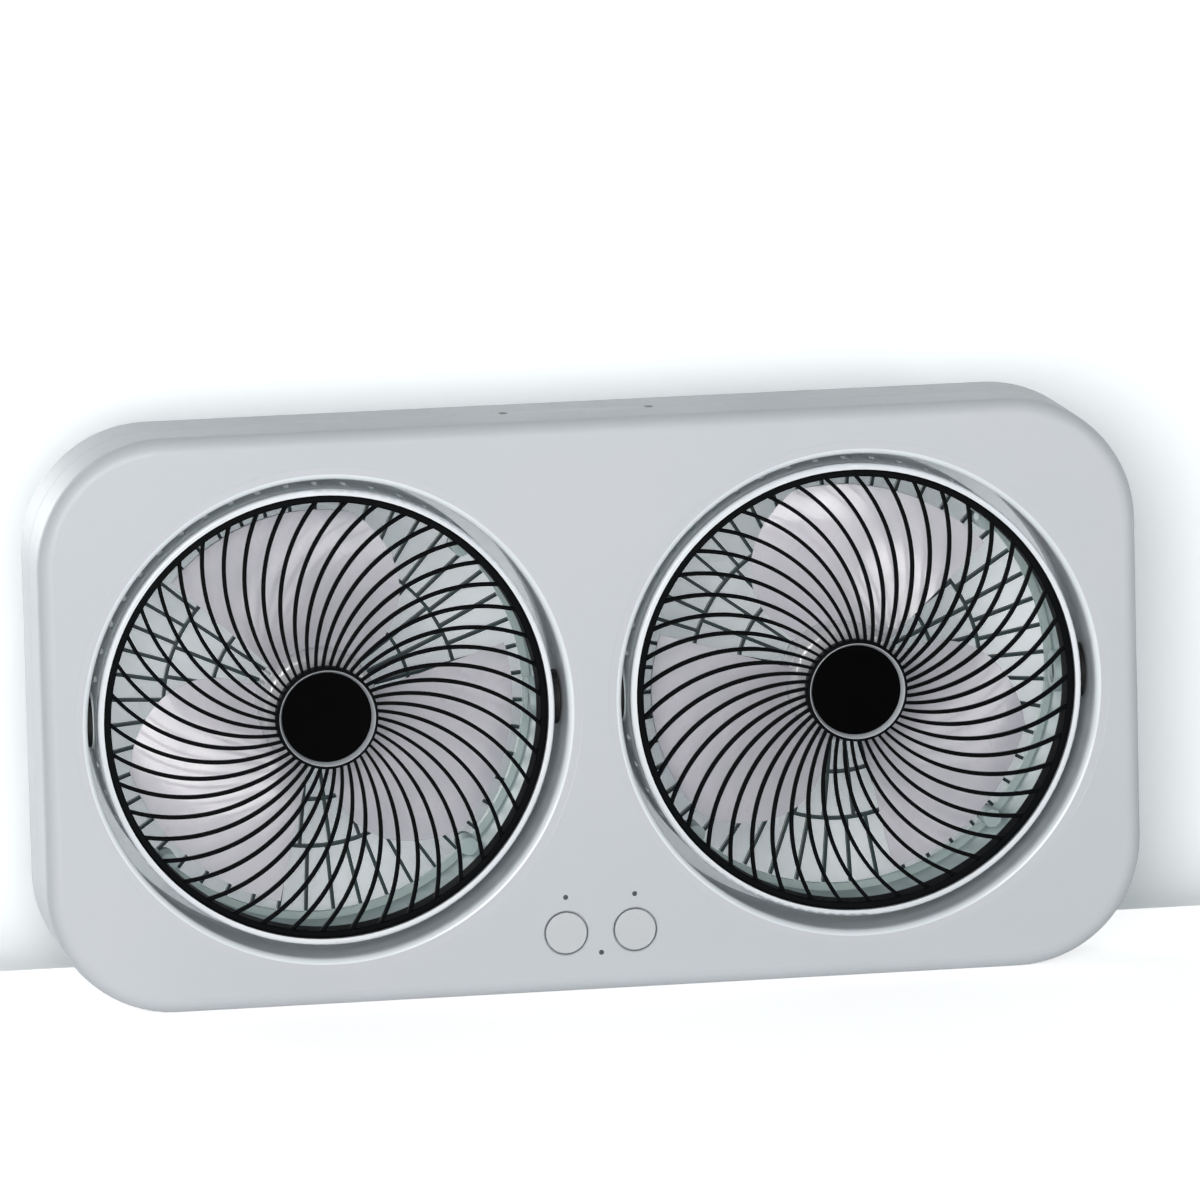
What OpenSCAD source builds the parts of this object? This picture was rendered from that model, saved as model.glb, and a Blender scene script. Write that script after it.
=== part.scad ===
// Rechargeable hanging fan: a flat slab housing with two round fan heads that
// tilt in their openings, a pull-out hanger, two cells and two push buttons.
// Units are millimetres. The fan stands on z = 0, its face looks along -Y and
// X runs to the right. Most pieces are drawn in the face frame: x right, y up
// from the middle of the face, z towards the viewer.

/* [Body] */
// Width of the housing
body_w = 365; // [345:1:400]
// Height of the housing
body_h = 190; // [180:1:215]
// Depth of the housing
body_d = 50; // [49:0.5:60]
// Radius of the housing's corners
body_corner = 42; // [38:0.5:46]
// Radius of the rounded front and back edges
body_edge = 5; // [3.5:0.5:7]
// Wall thickness of the two shells
body_wall = 2.5; // [2.2:0.1:3]
// Open seam between the front and rear shells
seam_gap = 0.4; // [0.2:0.1:0.6]
// Thickness of the locating lip behind the seam
seam_lip_w = 1.2; // [0.8:0.1:1.6]
// Height of the locating lip above the seam
seam_lip_h = 2.4; // [1.5:0.1:4]

/* [Fan openings] */
// Distance between the centres of the two fan heads
head_spacing = 176.5; // [166:0.5:186]
// Least height of the face above and below the openings
opening_margin = 15; // [14:0.25:30]
// Least width of the face beside the openings
opening_side = 14.25; // [13:0.25:30]
// Least width of the web between the openings
opening_web = 16.5; // [15.5:0.25:30]
// Radius of the rounded lip around each opening
opening_lip = 4; // [2:0.5:5]
// Wall thickness of the round tube behind each opening
opening_wall = 2.5; // [2:0.1:3]

/* [Fan heads] */
// Depth of a fan head from the trim ring to the back
head_d = 40; // [38:0.5:42]
// Gap between a drum and its opening
drum_gap = 4.4; // [4:0.1:6]
// Wall thickness of the drum
drum_wall = 2; // [1.8:0.1:2.4]
// Height of the ledge that the front grille sits on
drum_ledge_h = 2; // [1.5:0.1:3]
// Width of that ledge
drum_ledge_w = 2.4; // [2:0.1:3.5]
// Number of air slots around the drum
slot_n = 50; // [30:1:56]
// Width of an air slot
slot_w = 2; // [1:0.1:3]
// Length of an air slot along the drum
slot_l = 8; // [4:0.5:10]
// Distance from the trim ring's front to the middle of the slots
slot_back = 13; // [11:0.5:16]

/* [Trim ring] */
// Height of the trim ring
ring_h = 4; // [3:0.1:5]
// Radius of its rounded front edge
ring_edge = 1; // [0.4:0.1:1.2]

/* [Front grille] */
// Number of curved ribs
rib_n = 45; // [36:1:48]
// Width of a rib
rib_w = 1.3; // [1:0.1:1.5]
// Depth of a rib
rib_d = 2.6; // [1.8:0.1:3]
// Radius of a rib's curve
rib_curve = 55; // [50:1:80]
// Angle between a rib and the radius where it leaves the hub
rib_lead = 11; // [4:0.1:16]
// Radius where the ribs' curve starts, at the hub
rib_start = 16; // [15.6:0.1:16.5]
// How far a rib's front stands below the rim's front
rib_drop = 0.3; // [0:0.1:1]
// Width of the grille's rim
rim_w = 2.4; // [2:0.1:3.5]
// How far the rim's front stands below the trim ring's front
rim_drop = 0.8; // [0.4:0.1:1.5]
// Angle of the first rib on the left head, mirrored on the right one
rib_turn = 5.6; // [0:0.1:8]

/* [Front hub] */
// Outer radius of the grille's hub
hub_r = 16.9; // [16.7:0.1:18]
// How far the hub's bezel stands out in front of the trim ring
hub_rise = 1.7; // [0.5:0.1:2.5]
// Depth of the hub's seat below the bezel's front
hub_seat = 4; // [3.5:0.1:4.5]
// Thickness of the hub's floor
hub_floor = 1.8; // [1.2:0.1:2.4]
// Outer radius of the bright bezel ring
bezel_r = 15.9; // [15.5:0.1:16.1]
// Width of the bezel ring
bezel_w = 1; // [0.8:0.1:1.4]
// Thickness of the round cap inside the bezel
cap_t = 1.3; // [1:0.1:1.6]

/* [Rear grille] */
// Thickness of the rear grille's rim
rear_rim_t = 3; // [2.5:0.1:3.5]
// Thickness of the bars and rings
bar_t = 2.4; // [1.8:0.1:3]
// Width of the bars and rings
bar_w = 1.1; // [0.8:0.1:1.6]
// Radius of the inner ring
inner_ring_r = 33.3; // [30:0.1:38]
// Radius of the outer ring
outer_ring_r = 49; // [45:0.5:55]
// Number of bars between the motor seat and the outer ring
inner_bar_n = 30; // [18:1:32]
// Number of bars between the outer ring and the rim
outer_bar_n = 48; // [30:1:52]
// Angle of the first of those bars
outer_bar_turn = 4.6; // [0:0.1:7]
// Radius of the motor seat in the middle
seat_r = 18; // [17:0.5:22]

/* [Impeller] */
// Number of blades
blade_n = 3; // [2:1:3]
// Gap between the blade tips and the inside of the drum
tip_gap = 8.6; // [7.6:0.1:15]
// Thickness of a blade at its middle
blade_t = 1.7; // [1.2:0.1:2.4]
// Depth of a blade at the hub, from its back edge to its front edge
blade_root_d = 13; // [9:0.5:14]
// Depth of a blade at its tip
blade_tip_d = 10; // [7:0.5:12]
// Angle that a blade spans at the hub
blade_root_span = 97; // [80:1:110]
// Angle that a blade spans at its tip
blade_tip_span = 60; // [45:1:75]
// Angle of a blade's straight edge on the left head
blade_turn = 137; // [0:1:360]
// Outer radius of the impeller's hub
cup_r = 20; // [18:0.1:21]
// Wall thickness of the hub cup
cup_wall = 2; // [1.5:0.1:2.5]
// Height of the hub cup
cup_h = 14.5; // [13.5:0.1:15.5]
// Radius of the hub's rounded front edge
cup_edge = 3; // [1:0.5:4]

/* [Motor] */
// Radius of the motor case
motor_r = 14; // [12.5:0.1:15]
// Length of the motor case
motor_l = 13; // [12:0.1:13.5]
// Wall thickness of the motor case
motor_wall = 1.2; // [0.8:0.1:1.6]
// Radius of the motor shaft
shaft_r = 1.5; // [1:0.05:2]
// Outer radius of the shaft's bearing bushes
bearing_r = 3; // [2.6:0.1:3.4]
// Length of a bearing bush
bearing_l = 3; // [2.5:0.1:3.5]
// Thickness of the two magnets
magnet_t = 1.7; // [1.2:0.1:2]
// Angle that each magnet spans
magnet_arc = 130; // [90:1:160]
// Distance of the motor screws from the shaft
motor_screw_at = 9; // [8:0.1:10]

/* [Tilt pivots] */
// Radius of the hollow pivot pins
pivot_r = 4; // [3:0.1:4.5]
// Radius of the cable hole through a pivot pin
pivot_hole_r = 2.2; // [1.5:0.1:2.4]
// Radius of the flange that locks a pin between the shells
flange_r = 6.5; // [5.5:0.1:7.5]
// Thickness of that flange
flange_t = 2; // [1.5:0.1:2.4]
// Radius of the friction washers
washer_r = 9; // [8:0.1:10]
// Radius of the boss inside the drum that a pin turns in
pivot_boss_r = 7; // [6:0.1:8]
// Length of that boss inside the drum
pivot_boss_l = 4; // [3:0.1:5]

/* [Hanger] */
// Radius of the hanger's legs
leg_r = 1.5; // [1.2:0.1:1.6]
// Distance between the hanger's two legs
leg_spacing = 48.5; // [44:0.5:52]
// Radius of the leg tips that show in the bar
leg_tip_r = 0.8; // [0.5:0.05:1]
// Width of the hanger's bar, across its slot
hanger_bar_w = 4.4; // [4:0.1:5]
// Height of the hanger's bar
hanger_bar_h = 4; // [3:0.1:5]
// Length of the bar past each leg
hanger_bar_end = 3.6; // [3:0.1:5]
// How far the hanger pulls out
hanger_travel = 23; // [18:0.5:23]
// Outer radius of a guide bush
guide_r = 3.1; // [2.8:0.1:3.4]
// Length of a guide bush
guide_l = 6.8; // [6:0.1:7.2]
// Radius of the stop collar at the end of a leg
stop_r = 2.5; // [2.2:0.1:2.6]
// Length of a stop collar
stop_l = 2.5; // [2:0.1:3]
// Thickness of the housing block that holds the guides
guide_block_t = 7; // [6.5:0.1:8]

/* [Battery] */
// Radius of a cell
cell_r = 9.15; // [9:0.05:9.2]
// Length of a cell
cell_l = 65; // [60:0.1:66]
// Distance between the middle lines of the two cells
cell_spacing = 26; // [25.8:0.1:26]
// Distance from the top of the housing to the cells' middle lines
cell_drop = 16; // [15.5:0.1:16.5]
// Thickness of the cell holder's walls
holder_wall = 2; // [1.5:0.1:2.2]
// Thickness of the spring contacts
contact_t = 0.6; // [0.3:0.05:0.7]
// Width and height of the spring contacts
contact_w = 9; // [6:0.5:10]

/* [Controls] */
// Radius of a push button
button_r = 6.85; // [6:0.05:7.5]
// Distance between the two buttons
button_spacing = 23; // [20:0.5:26]
// Height of the buttons' middle above the base
button_z = 20; // [18:0.5:22]
// How far a button travels
button_travel = 0.8; // [0.5:0.1:0.9]
// Height of the indicator lights above the base
light_z = 32; // [30:0.5:34]
// Height of the lower indicator light above the base
low_light_z = 13; // [12:0.5:14]
// Radius of an indicator light
light_r = 0.8; // [0.6:0.05:1]
// Width of the control board
board_w = 44; // [42:0.5:46]
// Thickness of the boards
board_t = 1.6; // [1:0.1:2]
// Distance from the face to the control board
board_back = 11; // [10.5:0.1:12]

/* [Charging socket] */
// Height of the socket's middle above the base
socket_z = 18; // [16:0.5:22]
// Width of the socket
socket_w = 8.94; // [8.8:0.01:9.1]
// Height of the socket
socket_h = 3.26; // [3.1:0.01:3.4]
// Length of the socket
socket_l = 7.3; // [6.5:0.1:8]
// Wall thickness of the socket's metal shell
socket_wall = 0.3; // [0.2:0.05:0.4]
// Width of the charging board
charge_board_w = 20; // [18:0.5:24]
// Length of the charging board
charge_board_l = 18; // [15:0.5:20]

/* [Screws] */
// Radius of the housing screws
screw_r = 1.5; // [1.2:0.05:1.7]
// Radius of the housing screws' heads
screw_head_r = 2.8; // [2.5:0.05:2.9]
// Height of a housing screw's head
screw_head_h = 2.2; // [1.6:0.1:2.6]
// Length of a housing screw under its head
screw_l = 22; // [18:0.5:24]
// Depth of the housing screws' wells in the back
screw_well = 9; // [6:0.5:12]
// Distance of the corner screws from the housing's sides
screw_in_x = 18.5; // [17.5:0.5:20.5]
// Distance of the corner screws from its top and bottom
screw_in_y = 21; // [20:0.5:23]
// Gap between the control board and the screw post above it
screw_mid_gap = 5.5; // [3.5:0.5:7.5]
// Radius of the screw posts
post_r = 4.5; // [4.2:0.1:4.8]
// Radius of the small screws
small_screw_r = 1.1; // [0.9:0.05:1.2]
// Radius of the small screws' heads
small_head_r = 2.1; // [1.8:0.05:2.2]
// Height of a small screw's head
small_head_h = 1.2; // [0.9:0.1:1.3]
// Length of a small screw under its head
small_screw_l = 6; // [4:0.5:7]
// Distance of the rear grille's screws from its edge
grille_screw_in = 2.7; // [2.5:0.1:3]

/* [Fits] */
// Clearance around a part that is pushed into its seat
seat_gap = 0.1; // [0.05:0.01:0.15]
// Clearance around a shaft or wire that turns or slides
run_gap = 0.05; // [0.03:0.01:0.08]
// Clearance around a push button
button_gap = 0.45; // [0.2:0.05:0.6]
// Clearance between faces that slide past each other
face_gap = 0.3; // [0.2:0.05:0.4]
// Clearance around a part that is pressed on
press_gap = 0.02; // [0.01:0.005:0.03]
// Clearance around the hanger's bar in its slot
slot_gap = 0.2; // [0.1:0.05:0.3]
// Clearance around a screw in the piece that it holds down
hole_gap = 0.15; // [0.1:0.05:0.25]

/* [Hidden] */
$fn = 96;
slack = 0.5; // overshoot of a cutter past the face that it cuts
deep = 200; // longer than any piece that a cutter goes through

// Colours of the finishes
shell_colour = [0.80, 0.82, 0.86];
drum_colour = [0.72, 0.77, 0.77];
trim_colour = [0.92, 0.93, 0.95];
grille_colour = [0.05, 0.06, 0.07];
blade_colour = [0.74, 0.73, 0.78];
steel_colour = [0.66, 0.67, 0.70];
brass_colour = [0.78, 0.60, 0.30];
board_colour = [0.10, 0.38, 0.22];
sleeve_colour = [0.22, 0.45, 0.75];
copper_colour = [0.72, 0.42, 0.24];
magnet_colour = [0.25, 0.25, 0.27];
light_colour = [0.25, 0.28, 0.30];

// Places in the face frame
face_z = body_d / 2;
top_y = body_h / 2;
head_x = head_spacing / 2;
// The openings are the largest that leave the face its margins and web
opening_r = min(top_y - opening_margin, head_x - opening_web / 2, body_w / 2 - head_x - opening_side);
tube_r = opening_r + opening_wall;

// Places in a fan head, measured from its middle
head_z = head_d / 2;
drum_r = opening_r - drum_gap;
bore_r = drum_r - drum_wall;
blade_r = bore_r - tip_gap;
drum_top = head_z - ring_h;
ledge_drop = 0.8;
ledge_z = drum_top - ledge_drop;
boss_r = 3;
boss_over = 4;
boss_h = small_screw_l + boss_over;
rim_r = bore_r - seat_gap;
rim_in = rim_r - rim_w;
rim_top = head_z - rim_drop;
bezel_top = head_z + hub_rise;
bezel_proud = 0.5;
bezel_edge = 0.4;
rim_edge = 0.8;
hub_top = bezel_top - bezel_proud;
hub_seat_z = bezel_top - hub_seat;
rear_inner_z = -head_z + rear_rim_t;
rear_rim_w = 2.4;
rear_rim_in = rim_r - rear_rim_w;
bar_z = rear_inner_z - bar_t;
grille_screw_at = rim_r - grille_screw_in;
screw_sink = 1.3;
screw_spare = 0.8;
motor_back = rear_inner_z;
motor_front = motor_back + motor_l;
motor_seat_wall = 1.2;
motor_seat_h = 2;
nose_wall = 1.5;
nose_top = motor_front + nose_wall;
nose_r = bearing_r + nose_wall;
bearing_in = 0.4;
rear_bearing_z = motor_back + bearing_in;
front_bearing_z = nose_top - bearing_l;
magnet_r = motor_r - motor_wall - run_gap;
magnet_in = 2.5;
pole_gap = 0.55;
pole_end_gap = 0.4;
pole_slot_r = 1.8;
pole_slot_w = 1.2;
motor_reach = 6.5;
cup_back = motor_back + motor_reach;
cup_front = cup_back + cup_h;
cup_front_t = cup_wall + 0.5;
cup_boss_wall = 2.5;
nut_h = 3;
nut_r = 3.4;
shaft_in = 0.5;
shaft_out = 0.6;
shaft_back = motor_back + shaft_in;
shaft_front = cup_front + nut_h + shaft_out;

// A rib is an arc from the hub to the rim. Its middle line starts at
// rib_start, at the angle rib_lead to the radius, and bends with rib_curve.
arc_x = rib_start - rib_curve * sin(rib_lead);
arc_y = rib_curve * cos(rib_lead);
arc_dist = norm([arc_x, arc_y]);
rib_bite = 0.5;
rib_rim_bite = 1.5;
rib_from = hub_r - rib_bite;
rib_to = rim_in + rib_rim_bite;
// Angle opposite side c in a triangle with sides a, b and c
function corner_angle(a, b, c) = acos((a * a + b * b - c * c) / (2 * a * b));
// Angle at the arc's centre, from the head's middle to the point at radius r
function arc_turn(r) = corner_angle(arc_dist, rib_curve, r);
// Angle at the head's middle, from the arc's centre to the point at radius r
function head_turn(r) = corner_angle(arc_dist, r, rib_curve);
arc_side = atan2(arc_y, arc_x);
rib_mid = arc_side - (head_turn(hub_r) + head_turn(rim_in)) / 2;
rib_half = (head_turn(hub_r) - head_turn(rim_in)) / 2;
rib_hub_drop = 0.3;
rib_hub_top = hub_top - rib_hub_drop;
rib_rim_top = rim_top - rib_drop;
rib_tilt = atan((rib_hub_top - rib_rim_top) / ((rim_in - hub_r) * cos(rib_half)));
rib_axis_top = rib_hub_top + hub_r * cos(rib_half) * tan(rib_tilt);

// Pivot pins, measured along x from the head's middle
pad_w = 0.5;
pad_h = 0.3;
drum_face_x = drum_r + pad_h;
pin_in = 3;
pin_out = 6.6;
flange_out = 3;
saddle_wall = 3;
saddle_floor = 1;
pin_start = bore_r - pin_in;
pin_end = opening_r + pin_out;
flange_x = opening_r + flange_out;
saddle_end = pin_end + saddle_floor;
washer_end = sqrt(opening_r * opening_r - washer_r * washer_r) - face_gap;

// Hanger
leg_x = leg_spacing / 2;
bar_top = top_y - run_gap;
bar_bottom = bar_top - hanger_bar_h;
slot_floor = bar_bottom - face_gap;
tip_h = 1.2;
collar_w = 0.9;
collar_t = 1.2;
collar_bite = 0.5;
guide_bottom = slot_floor - guide_l;
stop_gap = 0.2;
stop_top = guide_bottom - stop_gap - hanger_travel;
leg_end = stop_top - stop_l;
block_bottom = top_y - body_wall - guide_block_t;
block_side = 8;
block_x = leg_x + block_side;
block_z = 5.5;

// Battery
cell_y = top_y - cell_drop;
cell_nub_h = 1.5;
cell_groove_in = 0.4;
cell_groove_w = 0.8;
cell_groove_at = 3;
contact_gap = 0.2;
holder_floor = cell_y - cell_r - 2 * contact_gap;
contact_room = contact_t + contact_gap;
holder_x = cell_l / 2 + contact_room + holder_wall;
holder_z = face_z - body_wall - face_gap;
holder_rise = 6;
holder_slot_w = 10;
cradle_w = 3;
cradle_drop = 4;
stop_room = 0.7;
ledge_w = 4;
ledge_t = 2;
ledge_l = 13;
ledge_x = leg_x + 6;

// Controls
button_y = button_z - top_y;
light_y = light_z - top_y;
low_light_y = low_light_z - top_y;
board_front = face_z - board_back;
board_over = 5;
board_under = 6;
board_top_y = light_y + board_over;
board_bottom_y = low_light_y - board_under;
board_h = board_top_y - board_bottom_y;
board_hole_in = 3;
board_hole_x = board_w / 2 - board_hole_in;
board_post_r = 2.8;
chip_w = 7;
chip_t = 1;
chip_down = 14;
coil_r = 3;
coil_h = 3;
coil_x = 10;
coil_up = 9;
plug_x = 5;
plug_up = 6;
plug_w = 8;
plug_h = 4;
cap_back = face_z - body_wall - face_gap;
button_edge = 0.4;
button_stem_r = 2.6;
button_flange_w = 1.2;
button_flange_t = 1.2;
switch_w = 6;
switch_h = 3.2;
switch_top = board_front + switch_h;
plunger_r = 1.75;
plunger_sink = 0.3;
plunger_top = switch_top + button_travel + face_gap;
light_base_w = 3.2;
light_places = [
    [-button_spacing / 2, light_y],
    [button_spacing / 2, light_y],
    [0, low_light_y]
];
board_screw_places = [
    for (sx = [-1, 1], y = [board_bottom_y + board_hole_in, board_top_y - board_hole_in])
        [sx * board_hole_x, y]
];

// Charging socket
socket_y = socket_z - top_y;
charge_board_top = socket_y - socket_h / 2;
socket_in = 0.4;
socket_gap = 0.25;
socket_mouth = -face_z + socket_in;
socket_back = 0.8;
tongue_t = 0.7;
tongue_side = 1.2;
tongue_in = 0.6;
charge_board_in = 0.2;
charge_board_z = -face_z + body_wall + charge_board_in;
charge_chip_w = 6;
charge_chip_l = 5;
charge_chip_t = 1.2;
charge_chip_in = 6;
rail_bite = 0.8;
rail_w = 3.2;
rail_under = 3;
rail_over = 2;

// Housing screws
screw_floor = face_z - screw_well;
screw_mid_y = -board_top_y - screw_mid_gap - post_r;
well_gap = 0.3;
pilot_spare = 1;
screw_places = concat(
    [for (sx = [-1, 1], sy = [-1, 1]) [sx * (body_w / 2 - screw_in_x), sy * (top_y - screw_in_y)]],
    [for (sy = [-1, 1]) [0, sy * screw_mid_y]]
);
// How far pieces of one solid reach into each other, so that they are joined
bite = 1;
// How far the seam's lip reaches into the rear shell's wall, and clears the front shell's
lip_bite = 0.4;
lip_gap = 0.15;

// Turns a shape from the face frame into the standing fan
module facing() {
    translate([0, 0, top_y]) rotate([90, 0, 0]) children();
}

// Puts a fan head's piece in the left opening, or its mirror image in the right one
module on_left() {
    facing() translate([-head_x, 0, 0]) children();
}
module on_right() {
    facing() translate([head_x, 0, 0]) mirror([1, 0, 0]) children();
}

// Repeats a shape on both sides of x = 0
module both_sides() {
    children();
    mirror([1, 0, 0]) children();
}

module ring(outer, inner, bottom, top) {
    translate([0, 0, bottom]) difference() {
        cylinder(r = outer, h = top - bottom);
        translate([0, 0, -slack]) cylinder(r = inner, h = top - bottom + 2 * slack);
    }
}

// A screw whose head starts at z = 0 and whose shank points along +z
module screw(shank_r, head_r, head_h, length) {
    difference() {
        cylinder(r = head_r, h = head_h);
        translate([0, 0, -slack]) cylinder(r = shank_r * 0.75, h = slack + head_h / 2, $fn = 6);
    }
    translate([0, 0, head_h]) cylinder(r = shank_r, h = length);
}

// Outline of a wall from x = 0 to reach, whose outer top corner is rounded
module edge_cut(reach, top, edge) {
    if (edge > 0) translate([reach - edge, top - edge]) difference() {
        square(edge + slack);
        circle(edge);
    }
}
module edge_profile(reach, bottom, top, edge) {
    difference() {
        translate([0, bottom]) square([reach, top - bottom]);
        edge_cut(reach, top, edge);
    }
}

// Flat slab with round corners, and a rounded edge around its front
module slab(w, h, corner, bottom, top, edge) {
    translate([corner - w / 2, 0, 0]) rotate([90, 0, 90]) linear_extrude(w - 2 * corner) difference() {
        translate([-h / 2, bottom]) square([h, top - bottom]);
        for (side = [0, 1]) mirror([side, 0]) edge_cut(h / 2, top, edge);
    }
    both_sides() {
        translate([w / 2 - corner, h / 2 - corner, 0]) rotate([90, 0, 0])
            linear_extrude(h - 2 * corner) edge_profile(corner, bottom, top, edge);
        for (end = [0, 1]) mirror([0, end, 0]) translate([w / 2 - corner, h / 2 - corner, 0])
            rotate_extrude(angle = 90) edge_profile(corner, bottom, top, edge);
    }
}
module inset_slab(inset, bottom, top, edge) {
    slab(body_w - 2 * inset, body_h - 2 * inset, body_corner - inset, bottom, top, edge);
}

// One half of the housing, with its face at z = face_z. The children stand inside it.
module shell_half() {
    difference() {
        inset_slab(0, seam_gap / 2, face_z, body_edge);
        difference() {
            inset_slab(body_wall, seam_gap / 2 - slack, face_z - body_wall, body_edge - body_wall);
            shell_insides();
            children();
        }
    }
}

// What stands inside both halves: tubes, screw posts, pin saddles, guide block, holder ledges
module shell_insides() {
    for (side = [-1, 1]) translate([side * head_x, 0, -slack]) {
        cylinder(r = tube_r, h = face_z);
        both_sides() translate([tube_r - bite, -flange_r - saddle_wall, 0])
            cube([saddle_end - tube_r + bite, 2 * (flange_r + saddle_wall), face_z]);
    }
    for (place = screw_places) translate([place[0], place[1], -slack]) cylinder(r = post_r, h = face_z);
    translate([-block_x, block_bottom, -slack])
        cube([2 * block_x, guide_block_t + body_wall, block_z + slack]);
    both_sides()
        translate([ledge_x - ledge_w / 2, holder_floor - holder_wall - seat_gap - ledge_t, face_z - ledge_l])
            cube([ledge_w, ledge_t, ledge_l]);
}

// What is cut from both halves
module shell_cuts() {
    for (side = [-1, 1]) translate([side * head_x, 0, 0]) {
        opening_cut();
        both_sides() rotate([0, 90, 0]) {
            translate([0, 0, opening_r - bite])
                cylinder(r = pivot_r + run_gap, h = pin_end - opening_r + bite + face_gap);
            ring(flange_r + seat_gap, pivot_r, flange_x - seat_gap, flange_x + flange_t + seat_gap);
        }
    }
    hanger_seats();
}

module opening_cut() {
    rotate_extrude() {
        translate([0, -slack]) square([opening_r, face_z + 2 * slack]);
        translate([opening_r, face_z - opening_lip]) difference() {
            square([opening_lip, opening_lip + slack]);
            translate([opening_lip, 0]) circle(opening_lip);
        }
    }
}

// Slot for the hanger's bar, and holes for its guides
module hanger_seats() {
    translate([0, slot_floor, 0]) hanger_bar_outline(slot_gap, deep);
    both_sides() translate([leg_x, slot_floor + slack, 0]) rotate([90, 0, 0])
        cylinder(r = guide_r + run_gap, h = guide_l + slack);
}

// Upright bar with round ends, grown by a clearance
module hanger_bar_outline(grow, height) {
    half = hanger_bar_w / 2 + grow;
    reach = leg_x + hanger_bar_end - hanger_bar_w / 2;
    translate([-reach, 0, -half]) cube([2 * reach, height, 2 * half]);
    both_sides() translate([reach, 0, 0]) rotate([-90, 0, 0]) cylinder(r = half, h = height);
}

module front_shell() {
    color(shell_colour) facing() difference() {
        shell_half() for (place = board_screw_places) translate([place[0], place[1], board_front])
            cylinder(r = board_post_r, h = face_z);
        shell_cuts();
        both_sides() translate([button_spacing / 2, button_y, board_front]) {
            cylinder(r = button_r + button_gap, h = deep);
            translate([0, 0, board_back - button_edge]) cylinder(
                r1 = button_r + button_gap, r2 = button_r + button_gap + button_edge + slack,
                h = button_edge + slack);
        }
        for (place = light_places) translate([place[0], place[1], board_front])
            cylinder(r = light_r + run_gap, h = deep);
        for (place = screw_places) translate([place[0], place[1], -slack])
            cylinder(r = screw_r + run_gap, h = screw_l - screw_floor + pilot_spare + slack);
        for (place = board_screw_places) translate([place[0], place[1], board_front - slack])
            cylinder(r = small_screw_r + run_gap, h = small_screw_l);
    }
}

module rear_shell() {
    color(shell_colour) facing() mirror([0, 0, 1]) difference() {
        union() {
            shell_half() charge_rails();
            seam_lip();
        }
        shell_cuts();
        for (place = screw_places) translate([place[0], place[1], 0]) {
            translate([0, 0, screw_floor]) cylinder(r = screw_head_r + well_gap, h = deep);
            translate([0, 0, -slack]) cylinder(r = screw_r + hole_gap, h = deep);
        }
        translate([0, socket_y, face_z - body_wall - slack]) linear_extrude(deep) socket_outline(socket_gap);
    }
}

// Lip of the rear shell, which steps behind the front shell's wall and closes the seam
module seam_lip() {
    difference() {
        union() {
            inset_slab(body_wall - lip_bite, seam_gap / 2, seam_lip_h, 0);
            inset_slab(body_wall + lip_gap, -seam_lip_h, seam_lip_h, 0);
        }
        inset_slab(body_wall + lip_gap + seam_lip_w, -deep, deep, 0);
        translate([-block_x - bite, 0, -deep]) cube([2 * (block_x + bite), deep, deep + seam_gap / 2]);
    }
}

// Rails on the back wall that hold the edges of the charging board
module charge_rails() {
    back = -charge_board_z - charge_board_l;
    both_sides() translate([charge_board_w / 2 - rail_bite, charge_board_top - board_t - rail_under, 0])
        difference() {
            translate([0, 0, back]) cube([rail_w, rail_under + board_t + rail_over, deep]);
            translate([-slack, rail_under - seat_gap, back - slack])
                cube([slack + rail_bite + seat_gap, board_t + 2 * seat_gap, charge_board_l + slack]);
        }
}

module socket_outline(grow) {
    half = (socket_w - socket_h) / 2;
    square([2 * half, socket_h + 2 * grow], center = true);
    for (side = [-1, 1]) translate([side * half, 0]) circle(socket_h / 2 + grow);
}

module shell_screws() {
    color(steel_colour) facing() for (place = screw_places)
        translate([place[0], place[1], -screw_floor - screw_head_h])
            screw(screw_r, screw_head_r, screw_head_h, screw_l);
}

// Two hollow pins, clamped between the shells, that a head tilts on
module pivot_pins() {
    both_sides() rotate([0, 90, 0]) {
        ring(pivot_r, pivot_hole_r, pin_start, pin_end);
        ring(flange_r, pivot_r - bite, flange_x, flange_x + flange_t);
    }
}
module left_pivot_pins() {
    color(grille_colour) on_left() pivot_pins();
}
module right_pivot_pins() {
    color(grille_colour) on_right() pivot_pins();
}

module hanger_guides() {
    color("white") facing() both_sides() translate([leg_x, 0, 0]) rotate([-90, 0, 0]) {
        ring(guide_r, leg_r + run_gap, guide_bottom, slot_floor);
        ring(guide_r + collar_w, guide_r - collar_bite, block_bottom - seat_gap - collar_t,
            block_bottom - seat_gap);
    }
}

// Bar that rests flush in the top of the housing, and is pulled up by its two legs' length
module hanger_bar() {
    color(shell_colour) facing() difference() {
        translate([0, bar_bottom, 0]) hanger_bar_outline(0, hanger_bar_h);
        both_sides() translate([leg_x, 0, 0]) rotate([-90, 0, 0]) {
            translate([0, 0, bar_bottom - slack])
                cylinder(r = leg_r + press_gap, h = hanger_bar_h - tip_h + slack);
            translate([0, 0, bar_bottom]) cylinder(r = leg_tip_r + press_gap, h = deep);
        }
    }
}

// Legs of the hanger, whose thinner tips are fixed in the bar
module hanger_legs() {
    color(steel_colour) facing() both_sides() translate([leg_x, 0, 0]) rotate([-90, 0, 0]) {
        translate([0, 0, leg_end]) cylinder(r = leg_r, h = bar_top - tip_h - press_gap - leg_end);
        translate([0, 0, bar_bottom]) cylinder(r = leg_tip_r, h = hanger_bar_h - face_gap);
    }
}

module hanger_stops() {
    color(steel_colour) facing() both_sides() translate([leg_x, 0, 0]) rotate([-90, 0, 0])
        ring(stop_r, leg_r + press_gap, leg_end, stop_top);
}

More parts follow.
